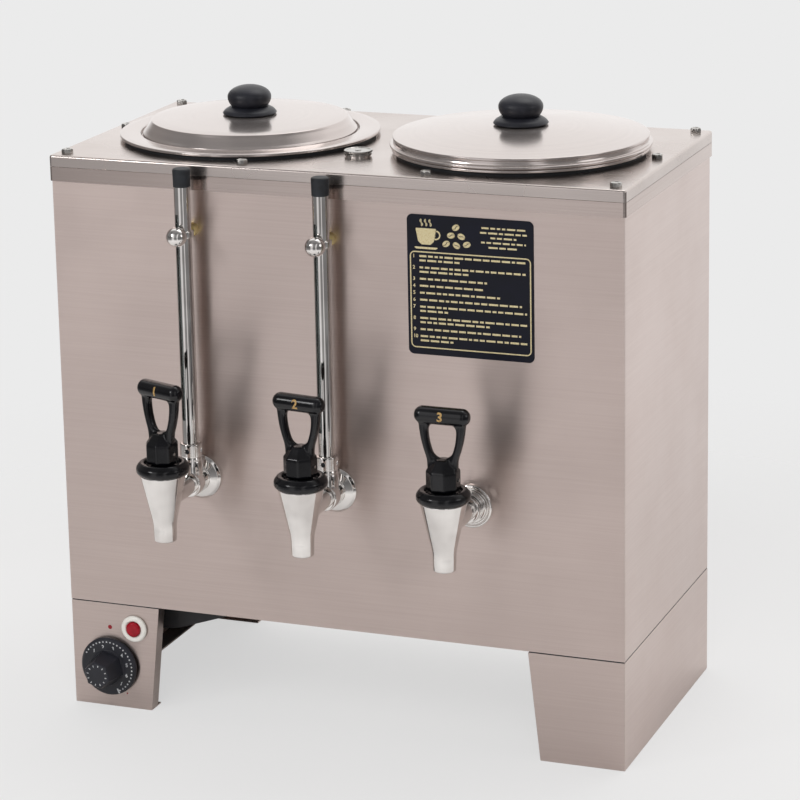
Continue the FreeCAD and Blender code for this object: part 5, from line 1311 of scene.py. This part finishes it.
class URN_OT_lamp(bpy.types.Operator):
    """Pilot lamp: white ring and red lens"""
    bl_idname = "urn.lamp"
    bl_label = "Pilot lamp"

    def execute(self, context):
        low, high = span("lamp_bezel")
        panel = span("left_leg")[0][1]
        deep = panel - low[1]
        heart = (low + high) / 2
        line = profile((8.0, 0.0), (12.8, 0, 0.2), (14, 0.5, 0.5), (14, deep - 1.2, 1), (12.6, deep, 1.2),
                       (9.4, deep, 1.0), (8.0, deep - 1.4, 0.8))
        barrel = profile((7.95, 0.1), (9.8, 0.1), (9.8, -(high[1] - panel)), (7.95, -(high[1] - panel)))
        place = (heart[0], panel, heart[2])
        piece("lamp_ring", [(turn(line, place, FORWARD, 96), True, True),
                            (turn(barrel, place, FORWARD, 64), True, True)],
              finish("white"), "urn", ("lamp_bezel",))
        low, high = span("lamp_lens")
        tall = high[1] - low[1]
        radius = (high[0] - low[0]) / 2
        dome = profile((0, 0), (radius, 0), (radius, tall - 1.4, 0.4), (radius - 1.6, tall - 0.1, 1.6),
                       (0, tall))
        place = (heart[0], high[1], heart[2])
        piece("lamp_window", [(turn(dome, place, FORWARD, 72), False, True)], finish("lens"), "urn",
              ("lamp_lens",))
        return {"FINISHED"}


class URN_OT_inner(bpy.types.Operator):
    """Finishes on the pieces that stay as they are in the frame"""
    bl_idname = "urn.inner"
    bl_label = "Inner pieces"

    def execute(self, context):
        keys = {"bottom_pan": "tank", "water_tank": "tank", "pot_seals": "rubber", "filler_neck": "chrome",
                "heating_element": "heater", "thermostat_body": "switch",
                "thermostat_shaft": "rod", "cable_gland": "nylon", "shank_nuts": "brass",
                "gauge_glasses": "glass"}
        for tap in TAPS:
            keys |= {f"{tap}_thrust_washer": "switch", f"{tap}_stem": "rod", f"{tap}_seat_cup": "rubber",
                     f"{tap}_handle_pin": "rod"}
        for node, key in keys.items():
            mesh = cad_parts[node].data
            mesh.materials.clear()
            mesh.materials.append(finish(key))
        return {"FINISHED"}


# Stage

class URN_OT_stage(bpy.types.Operator):
    """Pale floor, soft lamps, backdrop light and the camera"""
    bl_idname = "urn.stage"
    bl_label = "Stage"

    def execute(self, context):
        looks = context.scene.urn_stage
        self.floor(looks)
        self.world(context.scene, looks)
        # name, place, target, size and power; the wide fill lamp shows in no reflection
        self.lamp("key", (-1.7, -2.3, 1.9), (0.05, -0.05, 0.35), 0.8, looks.key)
        self.lamp("fill", (0.4, -2.6, 2.4), (0.1, -0.5, 0), 2.4, looks.fill, False)
        self.lamp("top", (0.3, 0.8, 2.6), (0, 0, 0.5), 1.5, looks.top)
        self.lamp("side", (2.8, -0.2, 1.5), (0.2, 0, 0.35), 1.2, looks.side)
        self.camera(context.scene)
        return {"FINISHED"}

    def floor(self, looks):
        angle = np.arange(128) * TAU / 128
        rings = np.array((0.0, 400, 800, 1200, 1600))
        spokes = np.stack([np.cos(angle), np.sin(angle)], axis=1)
        grid = np.concatenate([rings[:, None, None] * spokes, np.zeros((len(rings), 128, 1))], axis=2)
        mesh = mesh_of("floor", [(grid, False, True)])
        made = linked("floor", mesh)
        # matte paper with a faint cloud, clear from 1.25 m outward
        matter, tree, shader, where = finish_of("floor")
        cloud = add(tree, "ShaderNodeTexNoise", None,
                    {"Vector": where, "Scale": 3, "Detail": 2, "Roughness": 0.5})
        tone = blend(tree, cloud.outputs["Fac"], 0.3, 0.7, linear(looks.floor_tone), linear("#F5F4F3"))
        feed(tree, shader, {"Base Color": tone, "Roughness": 0.75})
        reach = add(tree, "ShaderNodeVectorMath", {"operation": "LENGTH"}, {0: where}).outputs["Value"]
        fade = add(tree, "ShaderNodeMapRange", None, {0: reach, 1: 0.72, 2: 1.25, 3: 0.0, 4: 1.0}).outputs[0]
        clear = add(tree, "ShaderNodeBsdfTransparent").outputs[0]
        # the camera sees the plain backdrop as most of the floor, so that the shadow stays light
        plain_share = 0.70
        plain = add(tree, "ShaderNodeEmission", None, {"Color": linear(looks.back_tone), "Strength": 1.0})
        ray = add(tree, "ShaderNodeLightPath").outputs["Is Camera Ray"]
        share = add(tree, "ShaderNodeMath", {"operation": "MULTIPLY"}, {0: ray, 1: plain_share}).outputs[0]
        paled = add(tree, "ShaderNodeMixShader", None, {0: share, 1: shader.outputs[0], 2: plain.outputs[0]})
        mixed = add(tree, "ShaderNodeMixShader", None, {0: fade, 1: paled.outputs[0], 2: clear}).outputs[0]
        feed(tree, next(node for node in tree.nodes if node.type == "OUTPUT_MATERIAL"), {"Surface": mixed})
        mesh.materials.append(matter)

    def world(self, scene, looks):
        made = bpy.data.worlds.new("studio")
        scene.world = made
        made.use_nodes = True
        tree = made.node_tree
        tree.nodes.clear()
        where = add(tree, "ShaderNodeTexCoord").outputs["Generated"]
        split = add(tree, "ShaderNodeSeparateXYZ", None, {0: where}).outputs
        # before the taps the room has two light ways between dark walls; each is white on the table, dimmer
        # at the height of the urn, light again above it and dark overhead: height, in the ways, on the walls
        heights = ((-1.0, 0.92, 0.92), (-0.46, 0.92, 0.92), (-0.30, 0.85, 0.25), (0.05, 0.60, 0.10),
                   (0.14, 0.95, 0.22), (0.64, 0.95, 0.22), (0.74, 0.25, 0.15), (1.0, 0.30, 0.30))
        sides = ((-1.0, 0.0), (-0.60, 0.0), (-0.36, 1.15), (-0.16, 1.15), (0.0, 0.1), (0.40, 0.05),
                 (0.47, 0.9), (0.58, 0.9), (0.64, 0.0), (1.0, 0.0))
        warm = looks.front_glow * np.array((1.0, 0.985, 0.99))
        ramps = []
        for way, stops in ((split["Z"], [(row[0], row[1] * warm) for row in heights]),
                           (split["Z"], [(row[0], row[2] * warm) for row in heights]),
                           (split["X"], [(place, (tone, tone, tone)) for place, tone in sides])):
            spot = add(tree, "ShaderNodeMapRange", None, {0: way, 1: -1.0, 2: 1.0}).outputs[0]
            ramps.append(add(tree, "ShaderNodeValToRGB", None, {0: spot}))
            marks = ramps[-1].color_ramp.elements
            for place, _ in stops[1:-1]:
                marks.new((place + 1) / 2)
            for mark, (_, colour) in zip(sorted(marks, key=lambda m: m.position), stops):
                mark.color = (*colour, 1)
        ways, walls, across = (ramp.outputs[0] for ramp in ramps)
        front = add(tree, "ShaderNodeMix", {"data_type": "RGBA"}, {0: across, 6: walls, 7: ways}).outputs[2]
        glow = (*(looks.back_glow * c for c in (1.0, 0.99, 0.985)), 1.0)
        low_glow = (*(looks.low_glow * c for c in (1.0, 0.985, 0.98)), 1.0)
        behind = blend(tree, split["Z"], -0.30, 0.02, low_glow, glow)
        # both far ends of the room are dim, so that round edges darken towards their ends
        far = add(tree, "ShaderNodeMath", {"operation": "ABSOLUTE"}, {0: split["X"]}).outputs[0]
        behind = blend(tree, far, 0.62, 0.80, behind, linear("#8E8A88"))
        shown = blend(tree, split["Y"], -0.12, 0.30, front, behind)
        ray = add(tree, "ShaderNodeLightPath").outputs["Is Camera Ray"]
        seen = add(tree, "ShaderNodeMix", {"data_type": "RGBA"},
                   {0: ray, 6: shown, 7: linear(looks.back_tone)})
        sky = add(tree, "ShaderNodeBackground", None, {"Color": seen.outputs[2], "Strength": 1.0}).outputs[0]
        add(tree, "ShaderNodeOutputWorld", None, {"Surface": sky})

    def lamp(self, name, place, target, size, power, mirrored=True):
        light = bpy.data.lights.new(name, "AREA")
        light.shape, light.size, light.energy = "DISK", size, power
        made = linked(name, light)
        aim = Vector(target) - Vector(place)
        made.visible_glossy = mirrored
        made.matrix_world = Matrix.Translation(place) @ aim.to_track_quat("-Z", "Y").to_matrix().to_4x4()

    def camera(self, scene):
        """Camera fitted to the edges of the casing in the photograph."""
        yaw, pitch, roll, place = 0.370764, 0.248514, -0.018798, (1.1448, -2.85864, 1.2094)
        back = np.array((math.sin(yaw) * math.cos(pitch), -math.cos(yaw) * math.cos(pitch), math.sin(pitch)))
        side = np.cross(-back, UP)
        side /= np.linalg.norm(side)
        rise_up = np.cross(side, -back)
        right = side * math.cos(roll) + rise_up * math.sin(roll)
        top = -side * math.sin(roll) + rise_up * math.cos(roll)
        data = bpy.data.cameras.new("photo")
        data.sensor_width = 36
        data.lens = 142.48
        data.shift_y = -0.125
        made = linked("photo", data)
        made.matrix_world = Matrix((*zip(right, top, back, place), (0, 0, 0, 1)))
        scene.camera = made
        scene.view_settings.view_transform = "Standard"


GROUPS = {"urn_steel": UrnSteel, "urn_lids": UrnLids, "urn_taps": UrnTaps, "urn_print": UrnPrint,
          "urn_stage": UrnStage}
STEPS = (URN_OT_casing, URN_OT_cover, URN_OT_bolts, URN_OT_pots, URN_OT_lids, URN_OT_knobs, URN_OT_filler,
         URN_OT_taps, URN_OT_springs, URN_OT_wall_flanges, URN_OT_grip_rings, URN_OT_handles, URN_OT_gauges,
         URN_OT_label, URN_OT_dial, URN_OT_lamp, URN_OT_inner, URN_OT_stage)


class URN_PT_sidebar(bpy.types.Panel):
    """Sizes and steps of the urn"""
    bl_label = "Double coffee urn"
    bl_idname = "URN_PT_sidebar"
    bl_space_type = "VIEW_3D"
    bl_region_type = "UI"
    bl_category = "Urn"

    def draw(self, context):
        for name, group in GROUPS.items():
            box = self.layout.box()
            box.label(text=group.__doc__)
            for key in group.__annotations__:
                box.prop(getattr(context.scene, name), key)
        for step in STEPS:
            self.layout.operator(step.bl_idname)


def register():
    """Register the classes and hang the groups on the scene."""
    for made in (*GROUPS.values(), *STEPS, URN_PT_sidebar):
        bpy.utils.register_class(made)
    for name, group in GROUPS.items():
        setattr(bpy.types.Scene, name, bpy.props.PointerProperty(type=group))


def unregister():
    """Take the groups and classes away again."""
    for name in GROUPS:
        delattr(bpy.types.Scene, name)
    for made in (URN_PT_sidebar, *reversed(STEPS), *GROUPS.values()):
        bpy.utils.unregister_class(made)


def main():
    """Register the classes and build every piece in order."""
    register()
    for step in STEPS:
        group, name = step.bl_idname.split(".")
        getattr(getattr(bpy.ops, group), name)()


if __name__ == "__main__":
    main()
